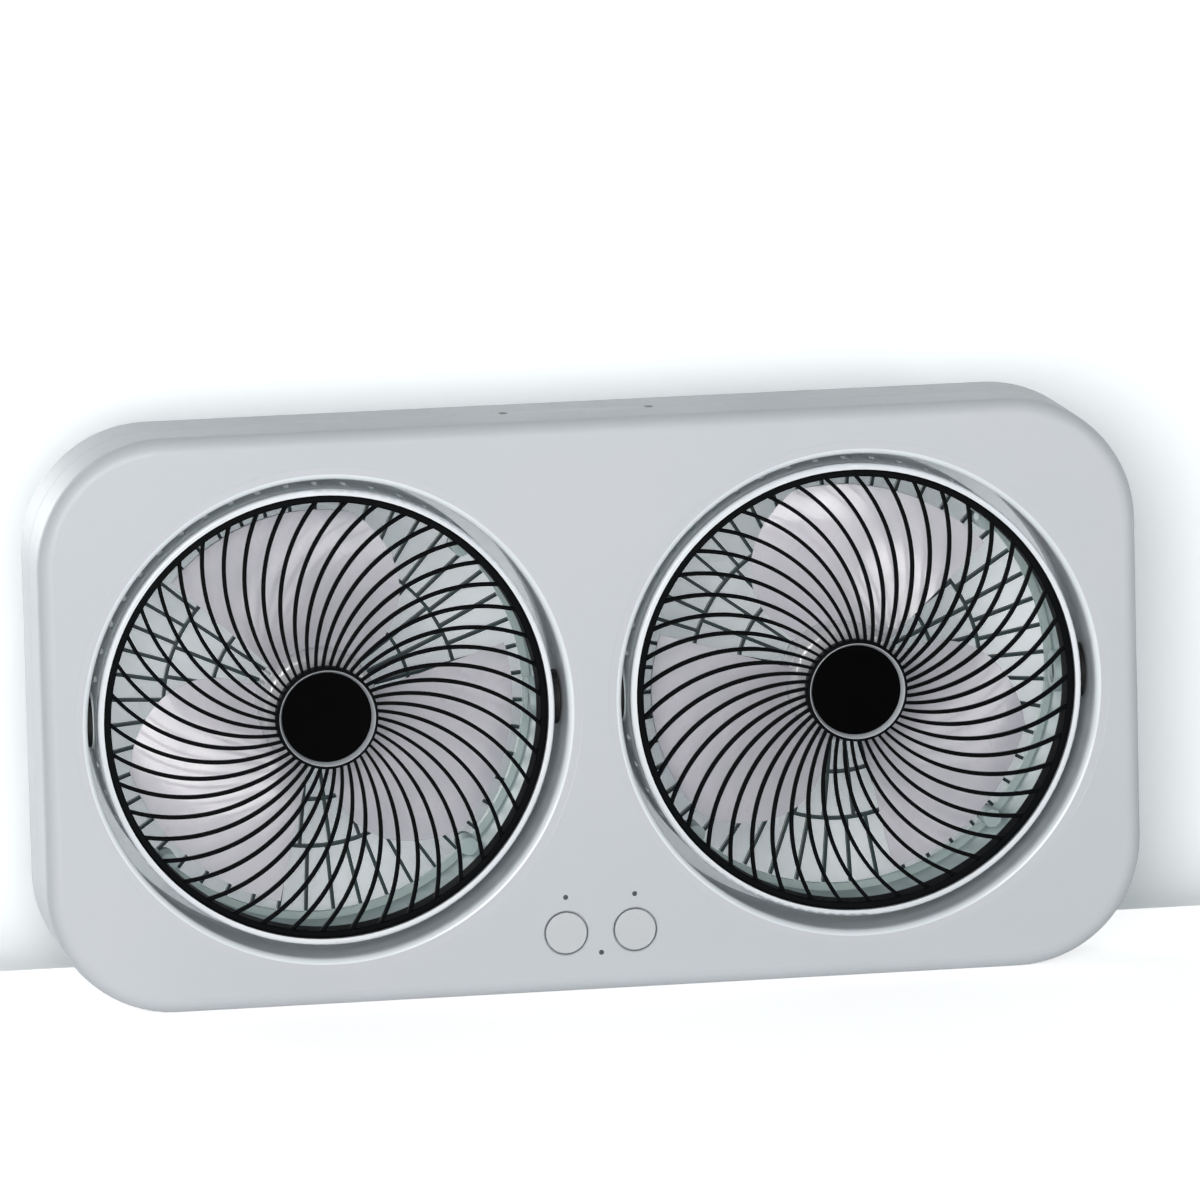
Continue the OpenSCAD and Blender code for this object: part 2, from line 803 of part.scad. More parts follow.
// A cell along x, with its raised contact at +x
module battery_cell() {
    rotate([0, 90, 0]) {
        translate([0, 0, -cell_l / 2]) rotate_extrude() difference() {
            square([cell_r, cell_l - cell_nub_h]);
            translate([cell_r - cell_groove_in, cell_l - cell_nub_h - cell_groove_at])
                square([bite, cell_groove_w]);
        }
        translate([0, 0, cell_l / 2 - cell_nub_h - slack]) cylinder(r = cell_r / 3, h = cell_nub_h + slack);
    }
}
module battery_cell_front() {
    color(sleeve_colour) facing() translate([0, cell_y, cell_spacing / 2]) battery_cell();
}
module battery_cell_rear() {
    color(sleeve_colour) facing() translate([0, cell_y, -cell_spacing / 2]) mirror([1, 0, 0]) battery_cell();
}

module battery_holder() {
    color(grille_colour) facing() difference() {
        union() {
            translate([-holder_x, holder_floor - holder_wall, -holder_z])
                cube([2 * holder_x, holder_wall, 2 * holder_z]);
            both_sides() {
                translate([holder_x - holder_wall, holder_floor - slack, -holder_z])
                    cube([holder_wall, cell_y + holder_rise - holder_floor + slack, 2 * holder_z]);
                translate([cell_l / 4, holder_floor - slack, -holder_z])
                    cube([cradle_w, cell_r - cradle_drop + slack, 2 * holder_z]);
            }
        }
        for (side = [-1, 1]) translate([0, cell_y, side * cell_spacing / 2]) rotate([0, 90, 0])
            cylinder(r = cell_r + seat_gap, h = cell_l, center = true);
        translate([-cell_l / 2, holder_floor, -holder_slot_w / 2]) cube([cell_l, deep, holder_slot_w]);
        both_sides() translate([leg_x, holder_floor + slack, 0]) rotate([90, 0, 0])
            cylinder(r = stop_r + stop_room, h = holder_wall + 2 * slack);
    }
}

module battery_contacts() {
    color(brass_colour) facing() both_sides() for (side = [-1, 1])
        translate([cell_l / 2 + seat_gap, cell_y - contact_w / 2, (side * cell_spacing - contact_w) / 2])
            cube([contact_t, contact_w, contact_w]);
}

module control_board() {
    color(board_colour) facing() {
        difference() {
            translate([-board_w / 2, board_bottom_y, board_front - board_t])
                cube([board_w, board_h, board_t]);
            for (place = board_screw_places) translate([place[0], place[1], board_front - board_t - slack])
                cylinder(r = small_screw_r + hole_gap, h = board_t + 2 * slack);
        }
        // chip, coil and plug on the back
        translate([0, 0, board_front - board_t + slack]) mirror([0, 0, 1]) {
            translate([-chip_w / 2, board_top_y - chip_down, 0]) cube([chip_w, chip_w, chip_t + slack]);
            translate([-coil_x, board_bottom_y + coil_up, 0]) cylinder(r = coil_r, h = coil_h + slack);
            translate([plug_x, board_bottom_y + plug_up, 0]) cube([plug_w, plug_h, plug_h + slack]);
        }
    }
}

module board_screws() {
    color(steel_colour) facing() for (place = board_screw_places)
        translate([place[0], place[1], board_front - board_t - small_head_h])
            screw(small_screw_r, small_head_r, small_head_h, small_screw_l);
}

module tact_switches() {
    color(grille_colour) facing() both_sides() translate([button_spacing / 2, button_y, 0]) difference() {
        translate([-switch_w / 2, -switch_w / 2, board_front])
            cube([switch_w, switch_w, switch_top - board_front]);
        translate([0, 0, switch_top - plunger_sink - button_travel - face_gap])
            cylinder(r = plunger_r + seat_gap, h = deep);
    }
}

// Light guides from the lamps on the control board to the face
module indicator_lights() {
    color(light_colour) facing() for (place = light_places)
        translate([place[0], place[1], board_front]) {
            translate([-light_base_w / 2, -light_base_w / 4, 0])
                cube([light_base_w, light_base_w / 2, light_base_w / 4]);
            cylinder(r = light_r, h = board_back - run_gap);
        }
}

module button() {
    translate([0, button_y, 0]) {
        rotate_extrude() edge_profile(button_r, cap_back - slack, face_z, button_edge);
        translate([0, 0, cap_back - button_flange_t])
            cylinder(r = button_r + button_flange_w, h = button_flange_t);
        translate([0, 0, plunger_top]) cylinder(r = button_stem_r, h = cap_back - plunger_top - slack);
    }
}
module left_button() {
    color(shell_colour) facing() translate([-button_spacing / 2, 0, 0]) button();
}
module right_button() {
    color(shell_colour) facing() translate([button_spacing / 2, 0, 0]) button();
}

// The part of a switch that moves with its button
module plunger() {
    translate([0, button_y, switch_top - plunger_sink])
        cylinder(r = plunger_r, h = plunger_top - switch_top + plunger_sink);
}
module left_plunger() {
    color("white") facing() translate([-button_spacing / 2, 0, 0]) plunger();
}
module right_plunger() {
    color("white") facing() translate([button_spacing / 2, 0, 0]) plunger();
}

module charge_board() {
    color(board_colour) facing() {
        translate([-charge_board_w / 2, charge_board_top - board_t, charge_board_z])
            cube([charge_board_w, board_t, charge_board_l]);
        translate([
            -charge_chip_w / 2, charge_board_top - board_t - charge_chip_t, charge_board_z + charge_chip_in
        ]) cube([charge_chip_w, charge_chip_t + slack, charge_chip_l]);
    }
}

module charge_socket() {
    color(steel_colour) facing() translate([0, socket_y, socket_mouth]) {
        difference() {
            linear_extrude(socket_l) socket_outline(0);
            translate([0, 0, -slack]) linear_extrude(socket_l - socket_back + slack)
                socket_outline(-socket_wall);
        }
        translate([tongue_side - socket_w / 2, -tongue_t / 2, tongue_in])
            cube([socket_w - 2 * tongue_side, tongue_t, socket_l - tongue_in - socket_back / 2]);
    }
}

// Round wall of a fan head, with its pivot bosses, grille ledge and air slots
module drum() {
    difference() {
        union() {
            ring(drum_r, bore_r, -head_z, drum_top);
            ring(bore_r + drum_wall / 4, bore_r - drum_ledge_w, ledge_z - drum_ledge_h, ledge_z);
            both_sides() rotate([0, 90, 0]) {
                translate([0, 0, bore_r - bite])
                    cylinder(r = washer_r + pad_w, h = drum_face_x - bore_r + bite);
                translate([0, 0, bore_r - pivot_boss_l]) cylinder(r = pivot_boss_r, h = pivot_boss_l);
            }
            grille_screw_places() translate([0, 0, rear_inner_z]) cylinder(r = boss_r, h = boss_h);
        }
        both_sides() rotate([0, 90, 0]) translate([0, 0, bore_r - pivot_boss_l - slack])
            cylinder(r = pivot_r + run_gap, h = pivot_boss_l + drum_wall + pad_h + 2 * slack);
        grille_screw_places() translate([0, 0, rear_inner_z - slack])
            cylinder(r = small_screw_r + run_gap, h = small_screw_l + slack);
        for (i = [0 : slot_n - 1]) drum_slot((i + 0.5) * 360 / slot_n);
    }
}
module grille_screw_places() {
    for (turn = [45 : 90 : 315]) rotate(turn) translate([grille_screw_at, 0, 0]) children();
}
module drum_slot(turn) {
    // no slot is cut where the pivot pads are
    if (abs(sin(turn)) * drum_r > washer_r + pad_w + slot_w) rotate(turn)
        translate([bore_r - bite, -slot_w / 2, head_z - slot_back - slot_l / 2])
            cube([drum_wall + 2 * bite, slot_w, slot_l]);
}
module left_drum() {
    color(drum_colour) on_left() drum();
}
module right_drum() {
    color(drum_colour) on_right() drum();
}

module trim_ring() {
    rotate_extrude() difference() {
        translate([bore_r, drum_top]) square([drum_wall, ring_h]);
        edge_cut(drum_r, head_z, ring_edge);
    }
}
module left_trim_ring() {
    color(trim_colour) on_left() trim_ring();
}
module right_trim_ring() {
    color(trim_colour) on_right() trim_ring();
}

module rib() {
    rotate(rib_mid) translate([0, 0, rib_axis_top]) rotate([0, rib_tilt, 0]) rotate(-rib_mid)
        translate([arc_x, arc_y, -rib_d]) rotate(atan2(-arc_y, -arc_x) + arc_turn(rib_from))
            rotate_extrude(angle = arc_turn(rib_to) - arc_turn(rib_from))
                translate([rib_curve - rib_w / 2, 0]) square([rib_w, rib_d]);
}

// Guard in front of the impeller, whose ribs curve from its hub to its rim
module front_grille() {
    rotate_extrude() difference() {
        translate([rim_in, ledge_z]) square([rim_w, rim_top - ledge_z]);
        edge_cut(rim_r, rim_top, rim_edge);
    }
    for (i = [0 : rib_n - 1]) rotate(rib_turn + i * 360 / rib_n) mirror([0, 1, 0]) rib();
    difference() {
        translate([0, 0, hub_seat_z - hub_floor]) cylinder(r = hub_r, h = hub_top - hub_seat_z + hub_floor);
        translate([0, 0, hub_seat_z]) cylinder(r = bezel_r + seat_gap / 2, h = deep);
    }
}
module left_front_grille() {
    color(grille_colour) on_left() front_grille();
}
module right_front_grille() {
    color(grille_colour) on_right() front_grille();
}

module hub_bezel() {
    rotate_extrude() difference() {
        translate([bezel_r - bezel_w, hub_seat_z]) square([bezel_w, hub_seat]);
        edge_cut(bezel_r, bezel_top, bezel_edge);
    }
}
module left_hub_bezel() {
    color(trim_colour) on_left() hub_bezel();
}
module right_hub_bezel() {
    color(trim_colour) on_right() hub_bezel();
}

module hub_cap() {
    translate([0, 0, hub_seat_z]) cylinder(r = bezel_r - bezel_w - seat_gap, h = cap_t);
}
module left_hub_cap() {
    color(grille_colour) on_left() hub_cap();
}
module right_hub_cap() {
    color(grille_colour) on_right() hub_cap();
}

// Guard behind the impeller, which also carries the motor
module rear_grille() {
    difference() {
        union() {
            ring(rim_r, rear_rim_in, -head_z, rear_inner_z);
            intersection() {
                grille_screw_places() translate([0, 0, -head_z]) cylinder(r = boss_r, h = rear_rim_t);
                cylinder(r = rim_r, h = 2 * head_z, center = true);
            }
            translate([0, 0, bar_z]) linear_extrude(bar_t) rear_bars();
            translate([0, 0, -head_z]) cylinder(r = seat_r, h = rear_rim_t);
            ring(motor_r + seat_gap + motor_seat_wall, motor_r + seat_gap, rear_inner_z - slack,
                rear_inner_z + motor_seat_h);
        }
        grille_screw_places() translate([0, 0, -head_z]) sunk_hole();
        both_sides() translate([motor_screw_at, 0, -head_z]) sunk_hole();
    }
}

// Outline of the rear grille's two rings and its two rows of bars
module rear_bars() {
    for (r = [inner_ring_r, outer_ring_r]) difference() {
        circle(r + bar_w / 2);
        circle(r - bar_w / 2);
    }
    bar_row(inner_bar_n, 0, seat_r - bite, outer_ring_r);
    bar_row(outer_bar_n, outer_bar_turn, outer_ring_r, rear_rim_in + bite);
}
module bar_row(count, turn, from, to) {
    for (i = [0 : count - 1]) rotate(turn + i * 360 / count) translate([from, -bar_w / 2])
        square([to - from, bar_w]);
}

module sunk_hole() {
    translate([0, 0, -slack]) cylinder(r = small_head_r + hole_gap, h = screw_sink + slack);
    translate([0, 0, -slack]) cylinder(r = small_screw_r + hole_gap, h = rear_rim_t + 2 * slack);
}
module left_rear_grille() {
    color(grille_colour) on_left() rear_grille();
}
module right_rear_grille() {
    color(grille_colour) on_right() rear_grille();
}

module grille_screws() {
    grille_screw_places() translate([0, 0, -head_z + screw_sink - small_head_h])
        screw(small_screw_r, small_head_r, small_head_h, small_screw_l);
}
module left_grille_screws() {
    color(steel_colour) on_left() grille_screws();
}
module right_grille_screws() {
    color(steel_colour) on_right() grille_screws();
}

// Rubber washers between the drum and the opening, which hold the head where it is put
module pivot_washers() {
    both_sides() rotate([0, 90, 0]) ring(washer_r, pivot_r + run_gap, drum_face_x, washer_end);
}
module left_pivot_washers() {
    color(grille_colour) on_left() pivot_washers();
}
module right_pivot_washers() {
    color(grille_colour) on_right() pivot_washers();
}

module motor_case() {
    inner_r = motor_r - motor_wall;
    difference() {
        union() {
            difference() {
                translate([0, 0, motor_back]) cylinder(r = motor_r, h = motor_l);
                translate([0, 0, motor_back + motor_wall])
                    cylinder(r = inner_r, h = motor_l - 2 * motor_wall);
            }
            translate([0, 0, motor_back + slack])
                cylinder(r = nose_r, h = rear_bearing_z + bearing_l - motor_back - slack);
            translate([0, 0, front_bearing_z]) cylinder(r = nose_r, h = bearing_l);
        }
        translate([0, 0, rear_bearing_z]) cylinder(r = bearing_r + press_gap, h = deep);
        both_sides() translate([motor_screw_at, 0, motor_back - slack])
            cylinder(r = small_screw_r + run_gap, h = motor_wall + 2 * slack);
    }
}
module left_motor_case() {
    color(steel_colour) on_left() motor_case();
}
module right_motor_case() {
    color(steel_colour) on_right() motor_case();
}

module motor_magnets() {
    for (turn = [0, 180]) rotate(turn - magnet_arc / 2) rotate_extrude(angle = magnet_arc)
        translate([magnet_r - magnet_t, motor_back + magnet_in]) square([magnet_t, motor_l - 2 * magnet_in]);
}
module left_motor_magnets() {
    color(magnet_colour) on_left() motor_magnets();
}
module right_motor_magnets() {
    color(magnet_colour) on_right() motor_magnets();
}

module motor_bearings() {
    for (z = [rear_bearing_z, front_bearing_z]) ring(bearing_r, shaft_r + run_gap, z, z + bearing_l);
}
module left_motor_bearings() {
    color(brass_colour) on_left() motor_bearings();
}
module right_motor_bearings() {
    color(brass_colour) on_right() motor_bearings();
}

module motor_screws() {
    both_sides() translate([motor_screw_at, 0, -head_z + screw_sink - small_head_h])
        screw(small_screw_r, small_head_r, small_head_h, rear_rim_t - screw_sink + motor_wall + screw_spare);
}
module left_motor_screws() {
    color(steel_colour) on_left() motor_screws();
}
module right_motor_screws() {
    color(steel_colour) on_right() motor_screws();
}

module motor_shaft() {
    translate([0, 0, shaft_back]) cylinder(r = shaft_r, h = shaft_front - shaft_back);
}
module left_motor_shaft() {
    color(steel_colour) on_left() motor_shaft();
}
module right_motor_shaft() {
    color(steel_colour) on_right() motor_shaft();
}

// Three-pole core on the shaft, between the two bushes
module motor_armature() {
    pole_r = magnet_r - magnet_t - pole_gap;
    bottom = rear_bearing_z + bearing_l + pole_end_gap;
    top = front_bearing_z - pole_end_gap;
    difference() {
        translate([0, 0, bottom]) cylinder(r = pole_r, h = top - bottom);
        for (turn = [0, 120, 240]) rotate(turn) translate([pole_r * 0.72, 0, bottom - slack]) {
            cylinder(r = pole_slot_r, h = deep);
            translate([0, -pole_slot_w / 2, 0]) cube([pole_r, pole_slot_w, deep]);
        }
        translate([0, 0, bottom - slack]) cylinder(r = shaft_r + press_gap, h = deep);
    }
}
module left_motor_armature() {
    color(copper_colour) on_left() motor_armature();
}
module right_motor_armature() {
    color(copper_colour) on_right() motor_armature();
}

// Wide blades on a hub cup that covers the motor
module impeller() {
    difference() {
        union() {
            rotate_extrude() edge_profile(cup_r, cup_back, cup_front, cup_edge);
            for (i = [0 : blade_n - 1]) rotate(blade_turn + i * 360 / blade_n) blade();
        }
        difference() {
            translate([0, 0, cup_back - slack])
                cylinder(r = cup_r - cup_wall, h = cup_h - cup_front_t + slack);
            translate([0, 0, nose_top + face_gap]) cylinder(r = shaft_r + cup_boss_wall, h = deep);
        }
        translate([0, 0, cup_back]) cylinder(r = shaft_r + press_gap, h = deep);
    }
}

// A blade is a grid of points from its curved edge (u = 0) to its straight edge (u = 1),
// and from inside the hub (v = 0) to the tip (v = 1). Its straight edge lies on the x axis.
blade_u = 14;
blade_v = 9;
blade_mid_z = (cup_back + cup_front) / 2 - 0.5;
function blade_reach(v) = (cup_r - cup_wall / 2) * (1 - v) + blade_r * v;
function blade_span(v) = blade_root_span - (blade_root_span - blade_tip_span) * pow(v, 2.4);
function blade_depth(v) = blade_root_d * (1 - v) + blade_tip_d * v;
function blade_rise(u) = 0.6 * u + 0.4 * u * u - 0.5;
function blade_half(u) = blade_t * (0.2 + 0.3 * sin(180 * u));
function blade_point(u, v, side) = let (turn = -blade_span(v) * (1 - u)) [
    blade_reach(v) * cos(turn),
    blade_reach(v) * sin(turn),
    blade_mid_z + blade_depth(v) * blade_rise(u) + side * blade_half(u)
];
module blade() {
    row = blade_u + 1;
    sheet = row * (blade_v + 1);
    points = [for (side = [-1, 1], j = [0 : blade_v], i = [0 : blade_u])
        blade_point(i / blade_u, j / blade_v, side)];
    cells = [for (j = [0 : blade_v - 1], i = [0 : blade_u - 1]) j * row + i];
    front = [for (c = cells) each [
        [sheet + c, sheet + c + row + 1, sheet + c + row],
        [sheet + c, sheet + c + 1, sheet + c + row + 1]
    ]];
    back = [for (c = cells) each [[c, c + row, c + row + 1], [c, c + row + 1, c + 1]]];
    ends = [for (i = [0 : blade_u - 1]) each concat(
        strip(i, i + 1, sheet),
        strip(blade_v * row + i + 1, blade_v * row + i, sheet)
    )];
    edges = [for (j = [0 : blade_v - 1]) each concat(
        strip((j + 1) * row, j * row, sheet),
        strip(j * row + blade_u, (j + 1) * row + blade_u, sheet)
    )];
    polyhedron(points, concat(front, back, ends, edges));
}
// Two triangles that join the back sheet's edge from a to b with the front sheet's
function strip(a, b, sheet) = [[a, b, sheet + b], [a, sheet + b, sheet + a]];

module left_impeller() {
    color(blade_colour) on_left() impeller();
}
module right_impeller() {
    color(blade_colour) on_right() impeller();
}

module impeller_nut() {
    difference() {
        translate([0, 0, cup_front]) cylinder(r = nut_r, h = nut_h, $fn = 6);
        translate([0, 0, cup_front - slack]) cylinder(r = shaft_r + press_gap, h = nut_h + 2 * slack);
    }
}
module left_impeller_nut() {
    color(brass_colour) on_left() impeller_nut();
}
module right_impeller_nut() {
    color(brass_colour) on_right() impeller_nut();
}

front_shell();
rear_shell();
shell_screws();
left_pivot_pins();
right_pivot_pins();
hanger_guides();
hanger_bar();
hanger_legs();
hanger_stops();
battery_cell_front();
battery_cell_rear();
battery_holder();
battery_contacts();
control_board();
board_screws();
tact_switches();
indicator_lights();
left_button();
left_plunger();
right_button();
right_plunger();
charge_board();
charge_socket();
left_drum();
left_trim_ring();
left_front_grille();
left_hub_bezel();
left_hub_cap();
left_rear_grille();
left_grille_screws();
left_pivot_washers();
left_motor_case();
left_motor_magnets();
left_motor_bearings();
left_motor_screws();
left_motor_shaft();
left_motor_armature();
left_impeller();
left_impeller_nut();
right_drum();
right_trim_ring();
right_front_grille();
right_hub_bezel();
right_hub_cap();
right_rear_grille();
right_grille_screws();
right_pivot_washers();
right_motor_case();
right_motor_magnets();
right_motor_bearings();
right_motor_screws();
right_motor_shaft();
right_motor_armature();
right_impeller();
right_impeller_nut();
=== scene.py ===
"""Looks of a rechargeable hanging fan: finishes, finer grilles and blades, and the studio.

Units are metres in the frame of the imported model. +Z is up, the fan's face looks
along -Y, and X runs to the right. The fan stands on z = 0.
"""

import logging
from dataclasses import dataclass
from enum import Enum
from math import acos, atan2, cos, inf, pi, radians, sin, tan, tau
from typing import Callable, Sequence

import bmesh
import bpy
from mathutils import Matrix, Vector


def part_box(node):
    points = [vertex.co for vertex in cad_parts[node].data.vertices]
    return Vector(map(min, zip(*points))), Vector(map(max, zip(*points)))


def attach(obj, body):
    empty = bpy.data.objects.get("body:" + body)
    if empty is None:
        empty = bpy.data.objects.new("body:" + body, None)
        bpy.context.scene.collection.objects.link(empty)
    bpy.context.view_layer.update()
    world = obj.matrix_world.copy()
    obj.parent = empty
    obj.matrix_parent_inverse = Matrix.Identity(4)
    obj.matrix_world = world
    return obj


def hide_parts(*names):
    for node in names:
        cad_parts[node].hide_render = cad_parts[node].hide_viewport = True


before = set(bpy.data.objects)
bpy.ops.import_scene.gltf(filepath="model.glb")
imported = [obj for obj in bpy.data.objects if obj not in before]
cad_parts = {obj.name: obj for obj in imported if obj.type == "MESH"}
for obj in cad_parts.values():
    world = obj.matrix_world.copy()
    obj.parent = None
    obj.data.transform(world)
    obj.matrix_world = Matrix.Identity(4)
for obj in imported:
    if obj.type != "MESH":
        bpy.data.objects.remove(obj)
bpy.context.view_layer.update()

MM = 0.001
LOG = logging.getLogger("hanging_fan")

Socket = bpy.types.NodeSocket
Node = bpy.types.Node
Material = bpy.types.Material
Colour = tuple[float, float, float]
Place = tuple[float, float, float]
Profile = list[tuple[float, float]]

# The curve of a screen's colours
SCREEN_MAX = 255.0
TOE_END = 0.04045
TOE_SLOPE = 12.92
CURVE_OFFSET = 0.055
CURVE_POWER = 2.4

# Places of the colour sockets in a Mix node
MIX_SHARE, MIX_FIRST, MIX_SECOND, MIX_RESULT = 0, 6, 7, 2

# Grain: its coarse part, and the span of noise that drifts in tone
COARSE_SCALE = 0.17
COARSE_SHARE = 0.6
DRIFT_SPAN = (0.32, 0.68)

# Wear: how far an edge turns before it shows, and the patches that break it up
WORN_TURN = (0.004, 0.12)
PATCH_SCALE = 180.0
PATCH_SPAN = (0.35, 0.62, 0.25, 1.0)

# Dust: the slopes that hold it, and its specks and clouds
DUSTY_SLOPE = (0.35, 0.95)
SPECK_SCALE = 900.0
SPECK_SPAN = (0.45, 0.7)
CLOUD_SCALE = 28.0
CLOUD_SPAN = (0.3, 0.7, 0.3, 1.0)

# How much drift, wear and dust change a finish
DRIFT_SHARE = 0.94
WORN_LIFT = 1.12
WORN_MOST = 0.95
WORN_SHARE = 0.6
WORN_GLOSS = 0.3
DUST_COLOUR = (0.42, 0.41, 0.39)
DUST_DULLS = 0.4
COAT_ROUGHNESS = 0.06
PAPER_DRIFT = 0.985


def linear(red: int, green: int, blue: int) -> Colour:
    """Turns a colour of 0 to 255 per channel, as a screen shows it, into a linear one.

    Args:
        red: Red channel.
        green: Green channel.
        blue: Blue channel.

    Returns:
        The linear colour that renders as the given one.
    """
    def channel(value: int) -> float:
        """Undoes the screen's curve for one channel."""
        share = value / SCREEN_MAX
        return (share / TOE_SLOPE if share <= TOE_END
                else ((share + CURVE_OFFSET) / (1.0 + CURVE_OFFSET)) ** CURVE_POWER)
    return (channel(red), channel(green), channel(blue))


def toned(colour: Colour, factor: float, most: float = inf) -> Colour:
    """Returns a colour times a factor, with no channel above the given most."""
    return tuple(min(channel * factor, most) for channel in colour)


def unit(value: float) -> float:
    """Returns the value kept between 0 and 1."""
    return min(max(value, 0.0), 1.0)


class NodeBench:
    """Places and links the nodes of one shader tree."""

    def __init__(self, tree: bpy.types.NodeTree) -> None:
        """Keeps the tree that is worked on."""
        self.tree = tree

    def add(self, kind: str, **values: object) -> Node:
        """Adds a node.

        Args:
            kind: Blender's type name of the node, without its ShaderNode prefix.
            **values: Inputs of the node by name, or its settings.

        Returns:
            The new node.
        """
        node = self.tree.nodes.new("ShaderNode" + kind)
        for name, value in values.items():
            socket = node.inputs.get(name.replace("_", " ").title())
            if socket:
                self.feed(socket, value)
            else:
                setattr(node, name, value)
        return node

    def feed(self, socket: Socket, value: object) -> None:
        """Feeds a socket.

        Args:
            socket: Socket to feed.
            value: Socket to link into it, or the plain value that it gets.
        """
        if isinstance(value, Socket):
            self.tree.links.new(value, socket)
        else:
            socket.default_value = value

    def run(self, kind: str, values: Sequence[object], **settings: object) -> Socket:
        """Adds a node and feeds its first inputs.

        Args:
            kind: Blender's type name of the node, without its ShaderNode prefix.
            values: Values or sockets of the first inputs, in their order.
            **settings: Settings of the node.

        Returns:
            The socket of its first output.
        """
        node = self.add(kind, **settings)
        for socket, value in zip(node.inputs, values):
            self.feed(socket, value)
        return node.outputs[0]

    def math(self, operation: str, first: object, second: object = 0.0,
             clamp: bool = False) -> Socket:
        """Returns the result of a Math node, which clamp keeps between 0 and 1."""
        return self.run("Math", (first, second), operation=operation, use_clamp=clamp)

    def span(self, value: object, low: float, high: float, to_low: float = 0.0,
             to_high: float = 1.0) -> Socket:
        """Returns a value mapped smoothly from one range to another."""
        return self.run("MapRange", (value, low, high, to_low, to_high),
                        interpolation_type="SMOOTHSTEP")

    def blend(self, share: object, first: object, second: object) -> Socket:
        """Mixes two colours.

        Args:
            share: Share of the second colour.
            first: First colour or socket.
            second: Second colour or socket.

        Returns:
            The mixed colour's socket.
        """
        node = self.add("Mix", data_type="RGBA")
        self.feed(node.inputs[MIX_SHARE], share)
        for place, colour in ((MIX_FIRST, first), (MIX_SECOND, second)):
            plain = isinstance(colour, tuple)
            self.feed(node.inputs[place], (*colour, 1.0) if plain else colour)
        return node.outputs[MIX_RESULT]

    def either(self, share: Socket, first: Socket, second: Socket) -> Socket:
        """Returns two shaders mixed by the share of the second one."""
        return self.run("MixShader", (share, first, second))


@dataclass(frozen=True)
class Effect:
    """A shader group that several finishes share."""

    name: str
    inputs: tuple[str, ...]
    outputs: tuple[str, ...]
    build: Callable[[NodeBench, Node, Node], None]

    def group(self) -> bpy.types.NodeTree:
        """Builds the node group on the first call.

        Returns:
            The node group.
        """
        found = bpy.data.node_groups.get(self.name)
        if found:
            return found
        tree = bpy.data.node_groups.new(self.name, "ShaderNodeTree")
        for way, names in (("INPUT", self.inputs), ("OUTPUT", self.outputs)):
            for name in names:
                tree.interface.new_socket(name=name, in_out=way, socket_type="NodeSocketFloat")
        entry = tree.nodes.new("NodeGroupInput")
        leave = tree.nodes.new("NodeGroupOutput")
        self.build(NodeBench(tree), entry, leave)
        return tree

    def place(self, bench: NodeBench, **values: float) -> Node:
        """Puts the group into a material.

        Args:
            bench: Bench of the material.
            **values: Values of the group's inputs, by name.

        Returns:
            The group's node.
        """
        node = bench.tree.nodes.new("ShaderNodeGroup")
        node.node_tree = self.group()
        for name, value in values.items():
            node.inputs[name].default_value = value
        return node


def build_grain(bench: NodeBench, entry: Node, leave: Node) -> None:
    """Adds fine moulded or sprayed grain, and a slow drift of tone over the piece.

    Args:
        bench: Bench of the group.
        entry: Node with the group's inputs.
        leave: Node with the group's outputs.
    """
    place = bench.add("TexCoord").outputs["Object"]
    scale = bench.math("DIVIDE", 1.0, entry.outputs["Size"])
    fine = bench.add("TexNoise", vector=place, scale=scale, detail=3.0, roughness=0.62)
    wide = bench.math("MULTIPLY", scale, COARSE_SCALE)
    coarse = bench.add("TexNoise", vector=place, scale=wide, detail=2.0)
    height = bench.math("ADD", fine.outputs[0],
                        bench.math("MULTIPLY", coarse.outputs[0], COARSE_SHARE))
    bench.feed(leave.inputs["Height"], height)
    drift = bench.add("TexNoise", vector=place, scale=entry.outputs["Drift"], detail=3.0,
                      roughness=0.55)
    bench.feed(leave.inputs["Tone"], bench.span(drift.outputs[0], *DRIFT_SPAN))


def build_wear(bench: NodeBench, entry: Node, leave: Node) -> None:
    """Adds edges that hands and cloths have polished.

    Args:
        bench: Bench of the group.
        entry: Node with the group's inputs.
        leave: Node with the group's outputs.
    """
    rounded_edge = bench.add("Bevel", samples=4, radius=entry.outputs["Width"])
    plain = bench.add("NewGeometry")
    turn = bench.add("VectorMath", operation="DOT_PRODUCT")
    bench.feed(turn.inputs[0], rounded_edge.outputs[0])
    bench.feed(turn.inputs[1], plain.outputs["Normal"])
    edge = bench.span(bench.math("SUBTRACT", 1.0, turn.outputs["Value"]), *WORN_TURN)
    place = bench.add("TexCoord").outputs["Object"]
    patches = bench.add("TexNoise", vector=place, scale=PATCH_SCALE, detail=4.0, roughness=0.7)
    broken = bench.span(patches.outputs[0], *PATCH_SPAN)
    bench.feed(leave.inputs["Mask"], bench.math("MULTIPLY", edge, broken, clamp=True))


